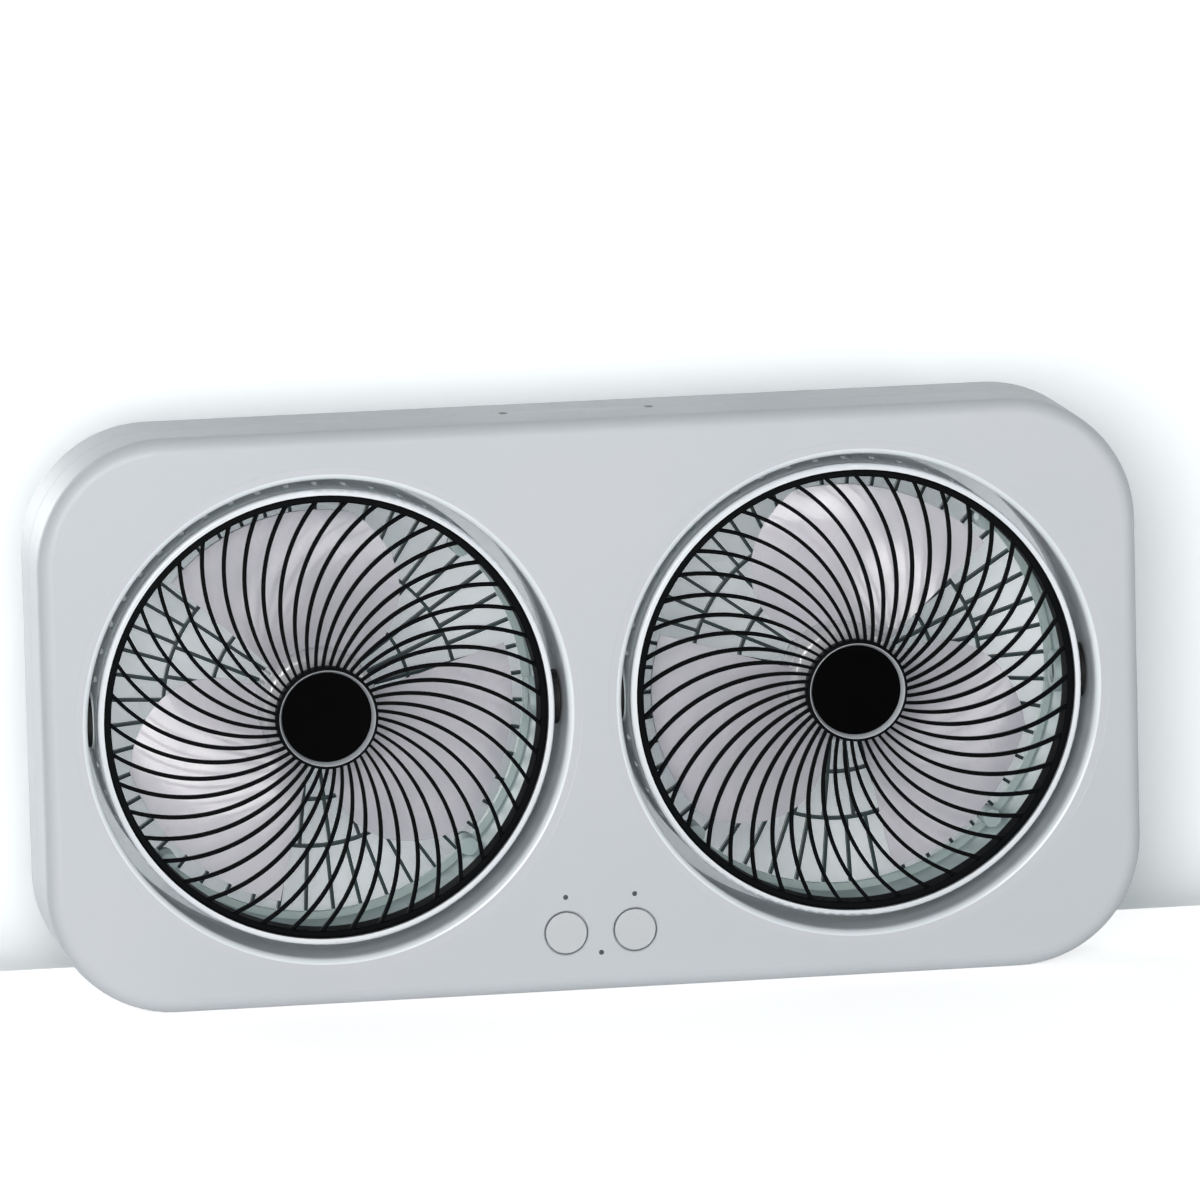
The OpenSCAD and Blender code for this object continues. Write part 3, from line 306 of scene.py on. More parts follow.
def build_dust(bench: NodeBench, entry: Node, leave: Node) -> None:
    """Adds thin dust on what faces up.

    Args:
        bench: Bench of the group.
        entry: Node with the group's inputs.
        leave: Node with the group's outputs.
    """
    spot = bench.add("TexCoord")
    up = bench.add("SeparateXYZ", vector=spot.outputs["Normal"]).outputs["Z"]
    level = bench.span(up, *DUSTY_SLOPE)
    specks = bench.add("TexNoise", vector=spot.outputs["Object"], scale=SPECK_SCALE, detail=2.0)
    clouds = bench.add("TexNoise", vector=spot.outputs["Object"], scale=CLOUD_SCALE, detail=3.0)
    speckled = bench.math("MULTIPLY", bench.span(specks.outputs[0], *SPECK_SPAN),
                          bench.span(clouds.outputs[0], *CLOUD_SPAN))
    amount = bench.math("MULTIPLY", speckled, entry.outputs["Amount"])
    bench.feed(leave.inputs["Mask"], bench.math("MULTIPLY", level, amount, clamp=True))


GRAIN = Effect("moulded_grain", ("Size", "Drift"), ("Height", "Tone"), build_grain)
WEAR = Effect("handled_edges", ("Width",), ("Mask",), build_wear)
DUST = Effect("settled_dust", ("Amount",), ("Mask",), build_dust)


@dataclass(frozen=True)
class Finish:
    """Colour, gloss and fine texture of a moulded, sprayed or turned surface."""

    name: str
    colour: Colour
    roughness: float
    drift_colour: Colour | None = None
    metallic: float = 0.0
    coat: float = 0.0
    specular: float = 0.5
    grain_size: float = 0.35 * MM
    grain_depth: float = 0.004 * MM
    gloss_drift: float = 0.05
    drift_scale: float = 14.0
    wear_width: float = 0.0
    dust: float = 0.0

    def base(self, bench: NodeBench, tone: Socket) -> Socket:
        """Returns the socket of the surface's own colour, which drifts with the tone."""
        return bench.blend(tone, self.colour,
                           self.drift_colour or toned(self.colour, DRIFT_SHARE))

    def relief(self, bench: NodeBench, height: Socket) -> Socket:
        """Returns the socket of the surface's height, here its grain alone."""
        return height

    def material(self) -> Material:
        """Builds the finish's material on the first call.

        Returns:
            The material.
        """
        found = bpy.data.materials.get(self.name)
        if found:
            return found
        material = bpy.data.materials.new(self.name)
        material.use_nodes = True
        bench = NodeBench(material.node_tree)
        shader = material.node_tree.nodes["Principled BSDF"]
        grain = GRAIN.place(bench, Size=self.grain_size, Drift=self.drift_scale)
        tone = grain.outputs["Tone"]
        colour = self.base(bench, tone)
        gloss = bench.span(tone, 0.0, 1.0, self.roughness, self.roughness + self.gloss_drift)
        if self.wear_width:
            worn = WEAR.place(bench, Width=self.wear_width).outputs["Mask"]
            bright = toned(self.colour, WORN_LIFT, WORN_MOST)
            colour = bench.blend(bench.math("MULTIPLY", worn, WORN_SHARE), colour, bright)
            polish = bench.math("MULTIPLY", worn, WORN_GLOSS * self.roughness)
            gloss = bench.math("SUBTRACT", gloss, polish)
        if self.dust:
            dusty = DUST.place(bench, Amount=self.dust).outputs["Mask"]
            colour = bench.blend(dusty, colour, DUST_COLOUR)
            dull = bench.math("MULTIPLY", dusty, DUST_DULLS)
            gloss = bench.math("ADD", gloss, dull, clamp=True)
        bump = bench.add("Bump", strength=1.0, distance=self.grain_depth)
        bench.feed(bump.inputs["Height"], self.relief(bench, grain.outputs["Height"]))
        for name, value in (("Base Color", colour), ("Roughness", gloss),
                            ("Normal", bump.outputs[0]), ("Metallic", self.metallic),
                            ("Specular IOR Level", self.specular), ("Coat Weight", self.coat),
                            ("Coat Roughness", COAT_ROUGHNESS)):
            bench.feed(shader.inputs[name], value)
        return material


@dataclass(frozen=True)
class CircuitBoard(Finish):
    """Solder mask with copper runs under it."""

    run_scale: float = 260.0
    run_shift: float = 0.37
    run_span: tuple[float, float] = (0.2, 0.8)
    run_lift: float = 1.7

    def base(self, bench: NodeBench, tone: Socket) -> Socket:
        """Draws the copper runs into the mask's colour.

        Args:
            bench: Bench of the material.
            tone: Slow drift over the piece, which the mask doesn't take.

        Returns:
            The colour's socket, lighter over copper.
        """
        place = bench.add("TexCoord").outputs["Object"]
        runs = bench.add("TexBrick", vector=place, scale=self.run_scale)
        runs.offset = self.run_shift
        return bench.blend(bench.span(runs.outputs["Fac"], *self.run_span), self.colour,
                           toned(self.colour, self.run_lift))


@dataclass(frozen=True)
class WoundCopper(Finish):
    """Varnished wire in close turns on a stack of thin sheets."""

    turn: float = 0.35 * MM
    wave_rate: float = 0.5 / 3.14
    wave_height: float = 3.0

    def relief(self, bench: NodeBench, height: Socket) -> Socket:
        """Adds the wire's turns to the grain.

        Args:
            bench: Bench of the material.
            height: Height of the grain.

        Returns:
            The socket of the whole height.
        """
        place = bench.add("TexCoord").outputs["Object"]
        wave = bench.add("TexWave", vector=place, scale=self.wave_rate / self.turn,
                         bands_direction="Y")
        turns = bench.math("MULTIPLY", wave.outputs["Fac"], self.wave_height)
        return bench.math("ADD", turns, height)


@dataclass(frozen=True)
class TurnedMetal(Finish):
    """Plated metal with fine lines from the lathe or the drawing die."""

    line: float = 0.08 * MM
    line_height: float = 0.7
    stretch: Place = (1.0, 0.06, 1.0)

    def relief(self, bench: NodeBench, height: Socket) -> Socket:
        """Adds fine lines along Y, the direction of most pins and screws, to the grain.

        Args:
            bench: Bench of the material.
            height: Height of the grain.

        Returns:
            The socket of the whole height.
        """
        place = bench.add("TexCoord").outputs["Object"]
        stretched = bench.add("Mapping", vector=place)
        stretched.inputs["Scale"].default_value = self.stretch
        lines = bench.add("TexNoise", vector=stretched.outputs[0], scale=1.0 / self.line,
                          detail=2.0)
        marks = bench.math("MULTIPLY", lines.outputs[0], self.line_height)
        return bench.math("ADD", marks, height)


@dataclass(frozen=True, kw_only=True)
class RimmedFinish(Finish):
    """A finish whose outer rim, far from the head's axis, has another colour."""

    rim_colour: Colour
    rim_start: float
    head_x: float = 88.25 * MM
    head_z: float = 95.0 * MM

    def base(self, bench: NodeBench, tone: Socket) -> Socket:
        """Picks the colour by the distance from the head's axis.

        Args:
            bench: Bench of the material.
            tone: Slow drift from 0 to 1 over the piece.

        Returns:
            The colour's socket, the rim's away from the head's middle.
        """
        place = bench.add("SeparateXYZ", vector=bench.add("TexCoord").outputs["Object"])
        side = bench.math("ABSOLUTE", place.outputs["X"])
        across = bench.math("SUBTRACT", side, self.head_x)
        height = bench.math("SUBTRACT", place.outputs["Z"], self.head_z)
        square = bench.math("ADD", bench.math("MULTIPLY", across, across),
                            bench.math("MULTIPLY", height, height))
        rim = bench.math("GREATER_THAN", square, self.rim_start ** 2)
        return bench.blend(rim, super().base(bench, tone), self.rim_colour)


HOUSING = Finish(
    "housing_plastic", linear(201, 204, 209), 0.42, linear(197, 202, 206), grain_size=0.5 * MM,
    grain_depth=0.005 * MM, drift_scale=9.0, wear_width=0.5 * MM, dust=0.10)
# Painted highlight: inside rim_start the rounded lip round each opening is coloured paler than the
# housing; beyond rim_start it has the housing's own colour.
OPENING_EDGE_HIGHLIGHT = RimmedFinish(
    "opening_edge", linear(232, 238, 241), 0.30, linear(226, 232, 236), coat=0.3,
    rim_colour=linear(201, 204, 209), rim_start=81.2 * MM)
BUTTON = Finish(
    "button_plastic", linear(203, 205, 208), 0.36, linear(199, 202, 205),
    grain_depth=0.003 * MM, wear_width=0.3 * MM, dust=0.05)
# Painted light: past rim_start the drum's outer wall is coloured near white. This stands in for
# light in the narrow, shaded gap between the drum and the housing.
DRUM_WITH_PAINTED_LIGHT = RimmedFinish(
    "drum_plastic", linear(186, 202, 203), 0.45, linear(178, 195, 196), grain_size=0.5 * MM,
    drift_scale=40.0, rim_colour=linear(230, 239, 240), rim_start=74.6 * MM, dust=0.1)
TRIM = Finish(
    "trim_silver", linear(236, 239, 243), 0.20, linear(222, 227, 232), coat=0.5,
    grain_depth=0.001 * MM, wear_width=0.2 * MM)
GRILLE = Finish(
    "grille_black", (0.0025, 0.0030, 0.0036), 0.46, (0.004, 0.0045, 0.005), specular=0.03,
    grain_size=0.3 * MM, grain_depth=0.003 * MM, dust=0.005)
REAR_GRILLE = RimmedFinish(
    "rear_grille_grey", linear(46, 62, 63), 0.45, linear(38, 54, 55), specular=0.3,
    grain_size=0.3 * MM, rim_colour=linear(176, 192, 190), rim_start=70.6 * MM, dust=0.1)
HUB_CAP = Finish(
    "hub_gloss_black", (0.0009, 0.0009, 0.0011), 0.16, (0.0016, 0.0016, 0.0019),
    specular=0.015, grain_size=1.2 * MM, grain_depth=0.002 * MM, gloss_drift=0.04)
BEZEL = Finish(
    "bezel_silver", linear(224, 227, 232), 0.22, linear(206, 210, 216), coat=0.5,
    grain_size=0.2 * MM, grain_depth=0.001 * MM)
BLADE = Finish(
    "blade_gloss", linear(218, 215, 224), 0.26, linear(208, 208, 216), gloss_drift=0.12,
    coat=0.35, grain_size=0.8 * MM, grain_depth=0.003 * MM, drift_scale=55.0, dust=0.05)
# Partly painted highlight: the cup is moulded with the blades but coloured whiter than them, for
# the bright glints round the hub. Its gloss and coat are real.
CUP_PAINTED_HIGHLIGHT = Finish(
    "cup_gloss_painted_highlight", linear(236, 236, 240), 0.12, linear(226, 227, 232), coat=1.0,
    grain_size=0.8 * MM, grain_depth=0.002 * MM, drift_scale=60.0)
STEEL = TurnedMetal("plated_steel", (0.52, 0.53, 0.56), 0.30, (0.44, 0.45, 0.48), metallic=1.0)
DARK_STEEL = TurnedMetal("magnet_grey", (0.05, 0.05, 0.055), 0.5, metallic=0.6)
COPPER = WoundCopper(
    "wound_copper", (0.55, 0.22, 0.09), 0.3, metallic=0.9, grain_depth=0.05 * MM)
BRONZE = TurnedMetal("sintered_bronze", (0.58, 0.38, 0.16), 0.38, metallic=1.0)
RUBBER = Finish("washer_rubber", (0.012, 0.012, 0.013), 0.65, grain_depth=0.008 * MM, dust=0.2)
PIN = Finish("pin_black", (0.014, 0.014, 0.016), 0.42, dust=0.1)
WHITE = Finish("acetal_white", linear(228, 230, 232), 0.35)
SLEEVE = Finish("cell_sleeve", linear(48, 104, 178), 0.28, linear(40, 92, 164), coat=0.4)
BOARD = CircuitBoard("solder_mask", (0.010, 0.085, 0.035), 0.32)
LIGHT = Finish("light_guide", (0.045, 0.05, 0.055), 0.16, coat=0.5)


class Side(Enum):
    """The two fan heads, and the hand of each."""

    LEFT = ("left", 1)
    RIGHT = ("right", -1)

    def __init__(self, word: str, hand: int) -> None:
        """Keeps the head's name and its hand, which is -1 where it is a mirror image."""
        self.word = word
        self.hand = hand

    def own(self, piece: str) -> str:
        """Returns the name of a piece on this side."""
        return f"{self.word}_{piece}"


def dress(names: Sequence[str], finish: Finish) -> None:
    """Gives CAD nodes a finish.

    Args:
        names: Names of the nodes.
        finish: Finish that all of them get.
    """
    for name in names:
        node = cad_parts[name]
        node.data.materials.clear()
        node.data.materials.append(finish.material())
        LOG.info("dressed %s in %s", name, finish.name)


@dataclass
class HeadSpace:
    """Turns places in a fan head into places in the frame."""

    side: Side

    def __post_init__(self) -> None:
        """Reads the head's middle from its drum."""
        low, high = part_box(self.side.own("drum"))
        self.middle = Vector(((low.x + high.x) / 2, 0.0, (low.z + high.z) / 2))

    def point(self, x: float, y: float, out: float) -> Vector:
        """Returns the frame's point for x across, mirrored on the right head, y up and out."""
        return self.middle + Vector((self.side.hand * x, -out, y))

    def polar(self, radius: float, angle: float, out: float) -> Vector:
        """Returns the frame's point at a radius and an angle in radians."""
        return self.point(radius * cos(angle), radius * sin(angle), out)

    def front_of(self, node: str) -> float:
        """Returns how far out a node reaches."""
        return -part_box(node)[0].y

    def back_of(self, node: str) -> float:
        """Returns how far back a node starts."""
        return -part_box(node)[1].y

    def radius_of(self, node: str) -> float:
        """Returns half the width of a round node."""
        low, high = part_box(node)
        return (high.z - low.z) / 2


class MeshBench:
    """Builds one mesh from rings of points."""

    def __init__(self) -> None:
        """Starts an empty mesh."""
        self.mesh = bmesh.new()

    def loft(self, rings: Sequence[Sequence[Vector]], joined: bool) -> None:
        """Skins closed rings of points, one after the other.

        Args:
            rings: Rings with equal numbers of points.
            joined: Whether the last ring is joined with the first, or both ends are capped.
        """
        rows = [[self.mesh.verts.new(point) for point in ring] for ring in rings]
        count = len(rows[0])
        pairs = list(zip(rows, rows[1:])) + ([(rows[-1], rows[0])] if joined else [])
        for first, second in pairs:
            for i in range(count):
                k = (i + 1) % count
                self.mesh.faces.new((first[i], first[k], second[k], second[i]))
        if not joined:
            self.mesh.faces.new(rows[0])
            self.mesh.faces.new(rows[-1])

    def lathe(self, space: HeadSpace, profile: Profile, steps: int, closed: bool = True) -> None:
        """Turns an outline about the head's axis.

        Args:
            space: Space of the fan head.
            profile: Points of the outline, as radius and distance out.
            steps: Number of steps round the axis.
            closed: Whether the outline is closed, or open and capped at both ends as on a cup.
        """
        turns = [tau * i / steps for i in range(steps)]
        if closed:
            rings = [[space.polar(radius, turn, out) for radius, out in profile] for turn in turns]
        else:
            rings = [[space.polar(radius, turn, out) for turn in turns] for radius, out in profile]
        self.loft(rings, joined=closed)

    def finish(self, name: str, finish: Finish, body: str, stands_for: Sequence[str],
               slot: str, smooth_angle: float = 35.0) -> None:
        """Makes the mesh a piece of the object.

        Args:
            name: Name of the piece.
            finish: Its finish.
            body: CAD body that it moves with.
            stands_for: CAD nodes that it replaces, or none where it is fitted over the solids.
            slot: Material slot of the record; not used.
            smooth_angle: Angle in degrees over which an edge stays sharp.
        """
        bmesh.ops.recalc_face_normals(self.mesh, faces=self.mesh.faces[:])
        data = bpy.data.meshes.new(name)
        self.mesh.to_mesh(data)
        self.mesh.free()
        data.materials.append(finish.material())
        data.shade_smooth()
        data.set_sharp_from_angle(angle=radians(smooth_angle))
        piece = bpy.data.objects.new(name, data)
        bpy.context.scene.collection.objects.link(piece)
        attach(piece, body)
        if stands_for:
            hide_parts(*stands_for)
        LOG.info("built %s with %d faces", name, len(data.polygons))


def rounded(corners: Sequence[tuple[float, float, float]], steps: int = 5) -> Profile:
    """Rounds the corners of a closed outline.

    Args:
        corners: Corners as radius, distance out and the radius of the rounding.
        steps: Number of steps in each rounding.

    Returns:
        The outline's points.
    """
    points: Profile = []
    count = len(corners)
    for i, (x, y, round_r) in enumerate(corners):
        here = Vector((x, y))
        before = (Vector(corners[i - 1][:2]) - here).normalized()
        after = (Vector(corners[(i + 1) % count][:2]) - here).normalized()
        if round_r <= 0.0:
            points.append((x, y))
            continue
        half = before.angle(after) / 2
        reach = round_r / tan(half)
        centre = here + (before + after).normalized() * (round_r / sin(half))
        start = (here + before * reach) - centre
        sweep = start.angle_signed((here + after * reach) - centre)
        for k in range(steps + 1):
            spoke = start.copy()
            spoke.rotate(Matrix.Rotation(-sweep * k / steps, 2))
            points.append(tuple(centre + spoke))
    return points


@dataclass
class FrontGrille:
    """The guard in front of a fan's blades: a rim, a hub and curved ribs between them."""

    space: HeadSpace
    rib_count: int = 45
    rib_width: float = 1.3 * MM
    rib_depth: float = 2.6 * MM
    rib_curve: float = 55.0 * MM
    rib_lead: float = radians(11.0)
    rib_turn: float = radians(5.6)
    rib_start: float = 16.0 * MM
    rib_steps: int = 30
    rib_stride: float = 0.2 * MM
    rib_hub_bite: float = 0.4 * MM
    rib_rim_bite: float = 1.2 * MM
    rib_drop: float = 0.3 * MM
    thin_share: float = 0.76
    thin_rate: float = 2.5
    nose_share: float = 0.9
    nose_steps: int = 6
    draft_share: float = 0.82
    rim_width: float = 2.4 * MM
    rim_drop: float = 0.8 * MM
    rim_edge: float = 0.8 * MM
    rim_inner_edge: float = 0.5 * MM
    rim_back_edge: float = 0.2 * MM
    rim_steps: int = 220
    skirt_depth: float = 8.0 * MM
    skirt_draft: float = 0.3 * MM
    hub_wall: float = 1.0 * MM
    hub_floor: float = 1.8 * MM
    hub_back_edge: float = 0.6 * MM
    hub_back_bevel: float = 0.15 * MM
    hub_front_edge: float = 0.4 * MM
    hub_front_bevel: tuple[float, float] = (0.12 * MM, 0.1 * MM)
    hub_steps: int = 120
    seat_gap: float = 0.05 * MM

    def __post_init__(self) -> None:
        """Reads the grille's outline from the CAD nodes."""
        own = self.space.side.own
        node, bezel = own("front_grille"), own("hub_bezel")
        self.rim_r = self.space.radius_of(node)
        self.rim_in = self.rim_r - self.rim_width
        self.rim_top = self.space.front_of(own("trim_ring")) - self.rim_drop
        self.back = self.space.back_of(node)
        self.bezel_r = self.space.radius_of(bezel)
        self.seat = self.space.back_of(bezel)
        self.hub_r = self.bezel_r + self.hub_wall
        self.hub_top = self.space.front_of(node)
        self.bench = MeshBench()

    def build(self) -> None:
        """Builds the grille as one piece."""
        own = self.space.side.own
        self.rim()
        self.hub()
        for i in range(self.rib_count):
            self.rib(self.rib_turn + tau * i / self.rib_count)
        self.bench.finish(own("grille_ribs"), GRILLE, own("head"), [own("front_grille")],
                          "grille", smooth_angle=50.0)

    def rim(self) -> None:
        """Adds the rim, with a skirt that narrows towards the blades."""
        skirt_end = self.rim_top - self.skirt_depth
        self.bench.lathe(self.space, rounded([
            (self.rim_r, self.back, self.rim_back_edge),
            (self.rim_r, self.rim_top, self.rim_edge),
            (self.rim_in, self.rim_top, self.rim_inner_edge),
            (self.rim_in - self.skirt_draft, skirt_end, 0.0),
            (self.rim_in, skirt_end, 0.0),
            (self.rim_in, self.back, 0.0)]), self.rim_steps)

    def hub(self) -> None:
        """Adds the hub, a cup that holds the bezel and the cap."""
        floor = self.seat - self.hub_floor
        inside = self.bezel_r + self.seat_gap
        bevel_in, bevel_down = self.hub_front_bevel
        self.bench.lathe(self.space, [
            (self.hub_r - self.hub_back_edge, floor),
            (self.hub_r - self.hub_back_bevel, floor + self.hub_back_bevel),
            (self.hub_r, floor + self.hub_back_edge),
            (self.hub_r, self.hub_top - self.hub_front_edge),
            (self.hub_r - bevel_in, self.hub_top - bevel_down),
            (self.hub_r - self.hub_front_edge, self.hub_top),
            (inside, self.hub_top), (inside, self.seat)], self.hub_steps, closed=False)

    def course(self, radius: float, turn: float) -> Vector:
        """Finds a rib's middle line.

        Args:
            radius: Distance from the head's axis.
            turn: Angle of the rib's start in radians.

        Returns:
            The place of the middle line at that radius, across and up.
        """
        arc = Vector((self.rib_start - self.rib_curve * sin(self.rib_lead),
                      self.rib_curve * cos(self.rib_lead)))
        away = arc.length
        bend = acos((away ** 2 + radius ** 2 - self.rib_curve ** 2) / (2 * away * radius))
        angle = turn - (atan2(arc.y, arc.x) - bend)
        return Vector((radius * cos(angle), radius * sin(angle)))

    def rib(self, turn: float) -> None:
        """Adds one rib.

        Args:
            turn: Angle of the rib's start in radians.
        """
        inner = self.hub_r - self.rib_hub_bite
        outer = self.rim_in + self.rib_rim_bite
        hub_end = self.hub_top - self.rib_drop
        rim_end = self.rim_top - self.rib_drop
        rings = []
        for i in range(self.rib_steps + 1):
            radius = inner + (outer - inner) * i / self.rib_steps
            share = (radius - self.hub_r) / (self.rim_in - self.hub_r)
            top = hub_end + (rim_end - hub_end) * unit(share)
            here = self.course(radius, turn)
            across = (self.course(radius + self.rib_stride, turn) - here).normalized().orthogonal()
            thin = self.thin_share + (1 - self.thin_share) * unit(self.thin_rate * share)
            rings.append([self.space.point(*(here + across * offset), top - drop)
                          for offset, drop in self.section(thin * self.rib_width / 2)])
        self.bench.loft(rings, joined=False)

    def section(self, half: float) -> Profile:
        """Draws a rib's cross-section, with a little draft and a rounded front.

        Args:
            half: Half the rib's width.

        Returns:
            The section's points, as distance across and drop from the top.
        """
        foot = half * self.draft_share
        points = [(foot, self.rib_depth), (-foot, self.rib_depth)]
        for k in range(self.nose_steps + 1):
            angle = pi * k / self.nose_steps
            points.append((-half * cos(angle), half * self.nose_share * (1 - sin(angle))))
        return points


@dataclass
class HubBezel:
    """Silver ring round the hub cap, whose inside slopes down to the cap."""

    space: HeadSpace
    width: float = 1.0 * MM
    lip: float = 0.1 * MM
    outer_edge: float = 0.06 * MM
    lip_edge: float = 0.03 * MM
    steps: int = 200

    def build(self) -> None:
        """Builds the ring as one piece."""
        own, space = self.space.side.own, self.space
        node = own("hub_bezel")
        outer, top, seat = space.radius_of(node), space.front_of(node), space.back_of(node)
        inner = outer - self.width
        bench = MeshBench()
        bench.lathe(space, rounded([
            (outer, seat, 0.0), (outer, top, self.outer_edge),
            (outer - self.lip, top, self.lip_edge),
            (inner, space.front_of(own("hub_cap")), 0.0), (inner, seat, 0.0)]), self.steps)
        bench.finish(own("bezel_ring"), BEZEL, own("head"), [node], "trim", smooth_angle=40.0)


@dataclass
class Impeller:
    """Wide blades on a hub cup."""

    space: HeadSpace
    blade_count: int = 3
    blade_turn: float = radians(137)
    blade_t: float = 1.7 * MM
    blade_back: float = 0.5 * MM
    edge_share: float = 0.2
    belly_share: float = 0.3
    rise_line: float = 0.6
    rise_curve: float = 0.4
    rise_middle: float = 0.5
    root_depth: float = 13.0 * MM
    tip_depth: float = 10.0 * MM
    root_span: float = radians(97)
    tip_span: float = radians(60)
    span_power: float = 2.4
    tip_share: float = 65.0 / 75.6
    along: int = 44
    outward: int = 26
    cup_r: float = 20.0 * MM
    cup_wall: float = 2.0 * MM
    cup_front_wall: float = 2.5 * MM
    cup_h: float = 14.5 * MM
    cup_edge: float = 3.0 * MM
    cup_bevel: float = 1.0 * MM
    cup_bore: float = 2.4 * MM
    edge_steps: int = 8
    cup_steps: int = 128

    def __post_init__(self) -> None:
        """Reads the impeller's outline from the CAD nodes."""
        own = self.space.side.own
        self.cup_front = self.space.front_of(own("impeller"))
        self.cup_back = self.cup_front - self.cup_h
        self.middle = (self.cup_front + self.cup_back) / 2 - self.blade_back
        self.tip_r = self.space.radius_of(own("drum")) * self.tip_share

    def build(self) -> None:
        """Builds the cup and the blades."""
        self.cup()
        own, bench = self.space.side.own, MeshBench()
        for i in range(self.blade_count):
            self.blade(bench, self.blade_turn + tau * i / self.blade_count)
        bench.finish(own("blades"), BLADE, own("rotor"), [own("impeller")], "blade",
                     smooth_angle=60.0)

    def cup(self) -> None:
        """Builds the cup that closes round the motor, with its rounded front edge, in a finish
        that is whiter than the blades' as a painted highlight.
        """
        own, bench = self.space.side.own, MeshBench()
        wall = self.cup_r - self.cup_wall
        inside = self.cup_front - self.cup_front_wall
        angles = [pi / 2 * k / self.edge_steps for k in range(self.edge_steps + 1)]
        edge = [(self.cup_r - self.cup_edge * (1 - cos(angle)),
                 self.cup_front - self.cup_edge * (1 - sin(angle))) for angle in angles]
        bench.lathe(self.space, [
            (self.cup_bore, inside), (wall - self.cup_bevel, inside),
            (wall, inside - self.cup_bevel), (wall, self.cup_back), (self.cup_r, self.cup_back),
            *edge, (self.cup_bore, self.cup_front)], self.cup_steps, closed=False)
        bench.finish(own("cup"), CUP_PAINTED_HIGHLIGHT, own("rotor"), [own("impeller")], "blade", smooth_angle=60.0)

    def blade(self, bench: MeshBench, turn: float) -> None:
        """Adds one blade.

        Args:
            bench: Bench of the blades' mesh.
            turn: Angle of the blade's straight edge in radians.
        """
        places = [i / self.along for i in range(self.along + 1)]
        rings = []
        for j in range(self.outward + 1):
            v = j / self.outward
            front = [self.blade_point(u, v, 1.0, turn) for u in places]
            back = [self.blade_point(u, v, -1.0, turn) for u in reversed(places)]
            rings.append(front + back)
        bench.loft(rings, joined=False)

    def blade_point(self, u: float, v: float, side: float, turn: float) -> Vector:
        """Places one point of a blade.

        Args:
            u: Place from the curved edge, 0, to the straight edge, 1.
            v: Place from the hub, 0, to the tip, 1.
            side: 1 on the front sheet and -1 on the back one.
            turn: Angle of the straight edge in radians.

        Returns:
            The point in the frame.
        """
        inner = self.cup_r - self.cup_wall / 2
        radius = inner * (1 - v) + self.tip_r * v
        span = self.root_span - (self.root_span - self.tip_span) * v ** self.span_power
        depth = self.root_depth * (1 - v) + self.tip_depth * v
        rise = self.rise_line * u + self.rise_curve * u * u - self.rise_middle
        half = self.blade_t * (self.edge_share + self.belly_share * sin(pi * u))
        return self.space.polar(radius, turn - span * (1 - u),
                                self.middle + depth * rise + side * half)


@dataclass
class OpeningEdge:
    """Rounded lip of the housing's face round the opening of a fan head. Its inner band is a
    painted highlight: paler than the housing, though it is the same plastic.
    """

    space: HeadSpace
    gap: float = 4.4 * MM
    inset: float = 0.6 * MM
    round_r: float = 1.9 * MM
    depth: float = 4.8 * MM
    reach: float = 4.1 * MM
    sink: float = 0.03 * MM
    back_inset: float = 0.5 * MM
    back_edge: float = 0.2 * MM
    outer_depth: float = 1.0 * MM
    round_steps: int = 8
    steps: int = 240

    def build(self) -> None:
        """Builds the edge as one piece, flush with the face."""
        own = self.space.side.own
        opening = self.space.radius_of(own("drum")) + self.gap
        face = self.space.front_of("front_shell") - self.sink
        inner, outer, back = opening - self.inset, opening + self.reach, face - self.depth
        bench = MeshBench()
        bench.lathe(self.space, rounded([
            (opening + self.back_inset, back, 0.0), (outer, face - self.outer_depth, 0.0),
            (outer, face, 0.0), (inner, face, self.round_r),
            (inner, back, self.back_edge)], self.round_steps), self.steps)
        bench.finish(own("opening_edge"), OPENING_EDGE_HIGHLIGHT, "housing", [], "housing",
                     smooth_angle=40.0)


@dataclass
class Motor:
    """The motor behind each hub, most of it closed in."""

    side: Side

    def dress(self) -> None:
        """Gives the motor's nodes their finishes."""
        own = self.side.own
        dress([own("motor_case"), own("motor_screws"), own("motor_shaft")], STEEL)
        dress([own("motor_magnets")], DARK_STEEL)
        dress([own("motor_bearings"), own("impeller_nut")], BRONZE)
        dress([own("motor_armature")], COPPER)


@dataclass
class FanHead:
    """One tilting fan head, and the edge of the opening that it hangs in."""

    side: Side

    def build(self) -> None:
        """Builds and dresses the head."""
        own, space = self.side.own, HeadSpace(self.side)
        OpeningEdge(space).build()
        FrontGrille(space).build()
        HubBezel(space).build()
        Impeller(space).build()
        Motor(self.side).dress()
        for piece, finish in (("drum", DRUM_WITH_PAINTED_LIGHT), ("trim_ring", TRIM), ("rear_grille", REAR_GRILLE),
                              ("hub_cap", HUB_CAP), ("grille_screws", STEEL),
                              ("pivot_washers", RUBBER)):
            dress([own(piece)], finish)


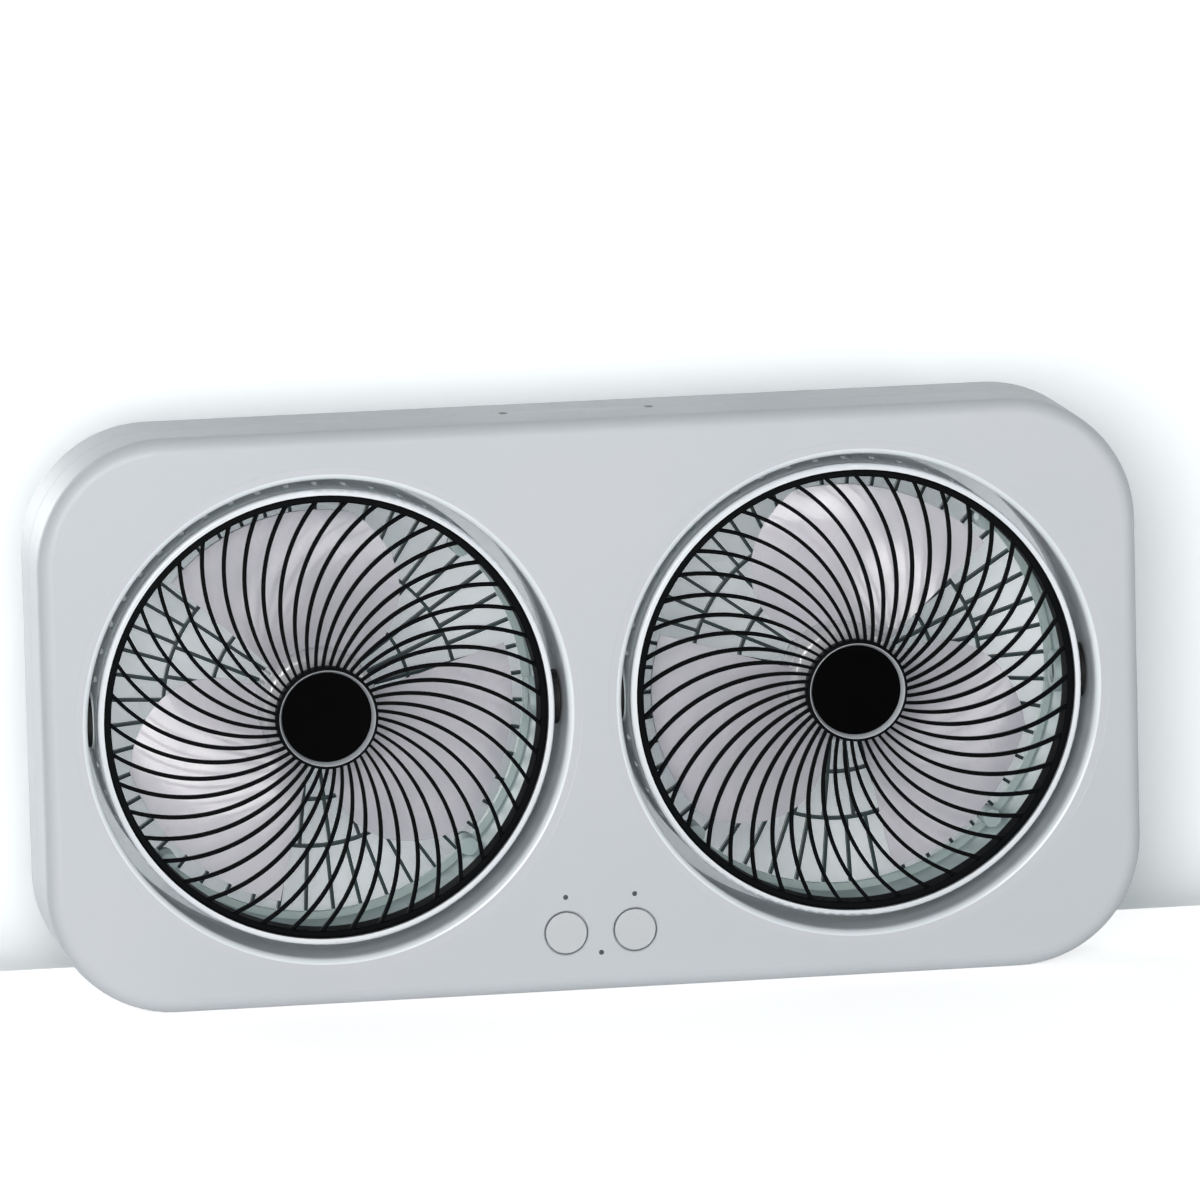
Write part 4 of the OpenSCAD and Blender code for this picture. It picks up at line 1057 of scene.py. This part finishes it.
@dataclass
class Housing:
    """The slab, its hanger and pins, and the buttons on its face."""

    leg_x: float = 24.25 * MM
    end_width: float = 1.5 * MM
    end_depth: float = 2.0 * MM
    end_height: float = 0.5 * MM
    end_proud: float = 0.04 * MM
    end_steps: int = 32

    def dress(self) -> None:
        """Gives the housing's nodes their finishes."""
        dress(["front_shell", "rear_shell"], HOUSING)
        dress(["left_button", "right_button", "hanger_bar"], BUTTON)
        dress(["hanger_guides", "left_plunger", "right_plunger"], WHITE)
        dress(["shell_screws", "board_screws", "hanger_stops", "charge_socket",
               "battery_contacts"], STEEL)
        dress(["hanger_legs"], DARK_STEEL)
        dress(["left_pivot_pins", "right_pivot_pins", "battery_holder", "tact_switches"], PIN)
        dress(["battery_cell_front", "battery_cell_rear"], SLEEVE)
        dress(["control_board", "charge_board"], BOARD)
        dress(["indicator_lights"], LIGHT)

    def painted_leg_end_shade(self) -> None:
        """Builds dark oval discs on the top of the hanger's bar over its legs' ends: painted shade
        that stands in for the dark gaps where the legs go into the bar.
        """
        bench = MeshBench()
        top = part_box("hanger_bar")[1].z + self.end_proud
        angles = [tau * i / self.end_steps for i in range(self.end_steps)]
        for x in (-self.leg_x, self.leg_x):
            bench.loft([[Vector((x + self.end_width * cos(angle),
                                 self.end_depth * sin(angle), height)) for angle in angles]
                        for height in (top, top - self.end_height)], joined=False)
        bench.finish("hanger_painted_leg_end_shade", PIN, "hanger", [], "steel")


@dataclass(frozen=True)
class Lamp:
    """A soft lamp that points at the fan."""

    name: str
    place: Place
    size: float
    power: float
    colour: Colour = (1.0, 1.0, 1.0)
    aim: Place = (0.0, 0.0, 0.1)

    def build(self) -> None:
        """Adds the lamp."""
        data = bpy.data.lights.new(self.name, "AREA")
        data.shape = "DISK"
        data.size = self.size
        data.energy = self.power
        data.color = self.colour
        lamp = bpy.data.objects.new(self.name, data)
        lamp.location = self.place
        lamp.rotation_mode = "QUATERNION"
        lamp.rotation_quaternion = (Vector(self.aim) - Vector(self.place)).to_track_quat("-Z", "Y")
        lamp.visible_camera = False
        bpy.context.scene.collection.objects.link(lamp)


LAMPS = (
    Lamp("front_lamp", (-0.62, -2.54, 0.60), size=1.2, power=44.0, colour=(1.0, 0.98, 0.965)),
    Lamp("right_lamp", (1.15, -2.25, 0.28), size=0.6, power=5.0),
    Lamp("rear_lamp", (-1.5, 2.2, 0.5), size=1.3, power=42.0),
)


@dataclass
class PhotoCamera:
    """The camera at the photograph's angle."""

    yaw: float = radians(9.38)
    pitch: float = radians(8.94)
    roll: float = radians(-1.415)
    distance: float = 4.0
    focal_pixels: float = 12130.0
    photo_pixels: int = 1200
    sensor_mm: float = 36.0
    aim: Place = (0.0065, 0.0, 0.1263)

    def build(self) -> None:
        """Adds the camera and makes it the scene's."""
        look = Vector((sin(self.yaw) * cos(self.pitch),
                       cos(self.yaw) * cos(self.pitch), -sin(self.pitch)))
        level = look.cross(Vector((0, 0, 1))).normalized()
        above = level.cross(look)
        right = level * cos(self.roll) + above * sin(self.roll)
        up = above * cos(self.roll) - level * sin(self.roll)
        data = bpy.data.cameras.new("photo_camera")
        data.sensor_width = self.sensor_mm
        data.lens = self.focal_pixels / self.photo_pixels * self.sensor_mm
        camera = bpy.data.objects.new("photo_camera", data)
        turn = Matrix((right, up, -look)).transposed().to_4x4()
        camera.matrix_world = Matrix.Translation(Vector(self.aim) - look * self.distance) @ turn
        bpy.context.scene.collection.objects.link(camera)
        bpy.context.scene.camera = camera


class Paper:
    """A matt paper of the stage, and what the camera sees of it."""

    def __init__(self, name: str, colour: Colour) -> None:
        """Starts the paper's material.

        Args:
            name: Name of the material.
            colour: Its colour.
        """
        self.material = bpy.data.materials.new(name)
        self.material.use_nodes = True
        self.bench = NodeBench(self.material.node_tree)
        shader = self.material.node_tree.nodes["Principled BSDF"]
        tone = GRAIN.place(self.bench, Size=0.01, Drift=1.2).outputs["Tone"]
        self.bench.feed(shader.inputs["Base Color"],
                        self.bench.blend(tone, colour, toned(colour, PAPER_DRIFT)))
        shader.inputs["Roughness"].default_value = 0.9
        shader.inputs["Specular IOR Level"].default_value = 0.1
        self.matt = shader.outputs[0]

    def seen(self) -> Socket:
        """Finds the rays that show the stage: from the camera, by gloss or through glass.

        Returns:
            The socket of their share.
        """
        rays = self.bench.add("LightPath").outputs
        direct = self.bench.math("MAXIMUM", rays["Is Camera Ray"], rays["Is Glossy Ray"])
        return self.bench.math("MAXIMUM", direct, rays["Is Transmission Ray"])

    def close(self, result: Socket) -> Material:
        """Ends the material with a shader's socket, and returns the material."""
        self.bench.feed(self.material.node_tree.nodes["Material Output"].inputs["Surface"], result)
        return self.material


@dataclass
class Studio:
    """A pale floor, a plain pale backdrop, lamps and the camera."""

    floor_reach: float = 8.0
    floor_colour: Colour = (0.88, 0.89, 0.90)
    floor_lift: float = 0.66
    wall_y: float = 0.098
    wall_width: float = 3.0
    wall_height: float = 1.6
    wall_seam: float = 0.0002
    wall_colour: Colour = (1.25, 1.29, 1.30)
    bounce_colour: Colour = (0.42, 0.44, 0.45)
    cove_r: float = 0.03
    cove_steps: int = 12
    sky_colour: Colour = (0.86, 0.97, 1.0)
    sky_span: tuple[float, float] = (0.05, 0.8)
    sky_strength: tuple[float, float] = (0.34, 0.14)

    def build(self) -> None:
        """Builds the stage and sets the view."""
        bpy.context.scene.view_settings.view_transform = "Standard"
        PhotoCamera().build()
        self.floor()
        self.wall()
        self.world()
        for lamp in LAMPS:
            lamp.build()

    def floor_paper(self) -> Material:
        """Makes the floor's paper, lifted so that the camera sees it white but for shadows.

        Returns:
            The material.
        """
        paper = Paper("floor_paper", self.floor_colour)
        bench = paper.bench
        both = bench.add("AddShader")
        bench.feed(both.inputs[0], paper.matt)
        bench.feed(both.inputs[1], bench.add("Emission", strength=self.floor_lift).outputs[0])
        return paper.close(bench.either(paper.seen(), paper.matt, both.outputs[0]))

    def wall_paper(self) -> Material:
        """Makes the backdrop's paper: white but for the fan's shadow, and clear from behind.

        Returns:
            The material.
        """
        paper = Paper("backdrop_paper", self.wall_colour)
        bench = paper.bench
        bounce = bench.add("BsdfDiffuse", color=(*self.bounce_colour, 1.0))
        shown = bench.either(paper.seen(), bounce.outputs[0], paper.matt)
        rays = bench.add("LightPath").outputs
        behind = bench.math("MULTIPLY", rays["Is Camera Ray"],
                            bench.add("NewGeometry").outputs["Backfacing"])
        clear = bench.math("MAXIMUM", behind, rays["Is Shadow Ray"])
        glass = bench.add("BsdfTransparent").outputs[0]
        return paper.close(bench.either(clear, shown, glass))

    def sheet(self, name: str, points: Sequence[Place], material: Material) -> None:
        """Adds a stage sheet from a strip of points.

        Args:
            name: Name of the sheet.
            points: Points in pairs, left and right, one pair per row.
            material: Its material.
        """
        data = bpy.data.meshes.new(name)
        rows = len(points) // 2
        faces = [(2 * i, 2 * i + 1, 2 * i + 3, 2 * i + 2) for i in range(rows - 1)]
        data.from_pydata(points, [], faces)
        data.shade_smooth()
        data.materials.append(material)
        sheet = bpy.data.objects.new(name, data)
        bpy.context.scene.collection.objects.link(sheet)

    def floor(self) -> None:
        """Adds the floor."""
        ends = (-self.floor_reach, self.floor_reach)
        self.sheet("floor", [(x, y, 0.0) for y in ends for x in ends], self.floor_paper())

    def wall(self) -> None:
        """Adds the backdrop, which curves up from the floor behind the fan."""
        half = self.wall_width / 2
        angles = [pi / 2 * k / self.cove_steps for k in range(self.cove_steps + 1)]
        course = [(self.wall_y - self.cove_r * (1 - sin(angle)),
                   self.cove_r * (1 - cos(angle)) + self.wall_seam) for angle in angles]
        course.append((self.wall_y, self.wall_height))
        self.sheet("backdrop", [(x, y, z) for y, z in course for x in (-half, half)],
                   self.wall_paper())

    def world(self) -> None:
        """Sets the world: soft light for the fan, and white where the camera sees it."""
        world = bpy.data.worlds.new("studio_world")
        bpy.context.scene.world = world
        world.use_nodes = True
        bench = NodeBench(world.node_tree)
        world.node_tree.nodes.clear()
        rays = bench.add("LightPath").outputs
        seen = bench.math("MAXIMUM", rays["Is Camera Ray"], rays["Is Transmission Ray"])
        sky = bench.add("TexCoord").outputs["Generated"]
        height = bench.add("SeparateXYZ", vector=sky).outputs["Z"]
        soft = bench.add("Background", color=(*self.sky_colour, 1.0),
                         strength=bench.span(height, *self.sky_span, *self.sky_strength))
        white = bench.add("Background", color=(1.0, 1.0, 1.0, 1.0), strength=1.0)
        result = bench.either(seen, soft.outputs[0], white.outputs[0])
        bench.feed(bench.add("OutputWorld").inputs["Surface"], result)


def main() -> None:
    """Builds the fan's looks and its studio."""
    logging.basicConfig(level=logging.INFO, format="%(name)s: %(message)s")
    Studio().build()
    housing = Housing()
    housing.dress()
    housing.painted_leg_end_shade()
    for side in Side:
        FanHead(side).build()


if __name__ == "__main__":
    main()
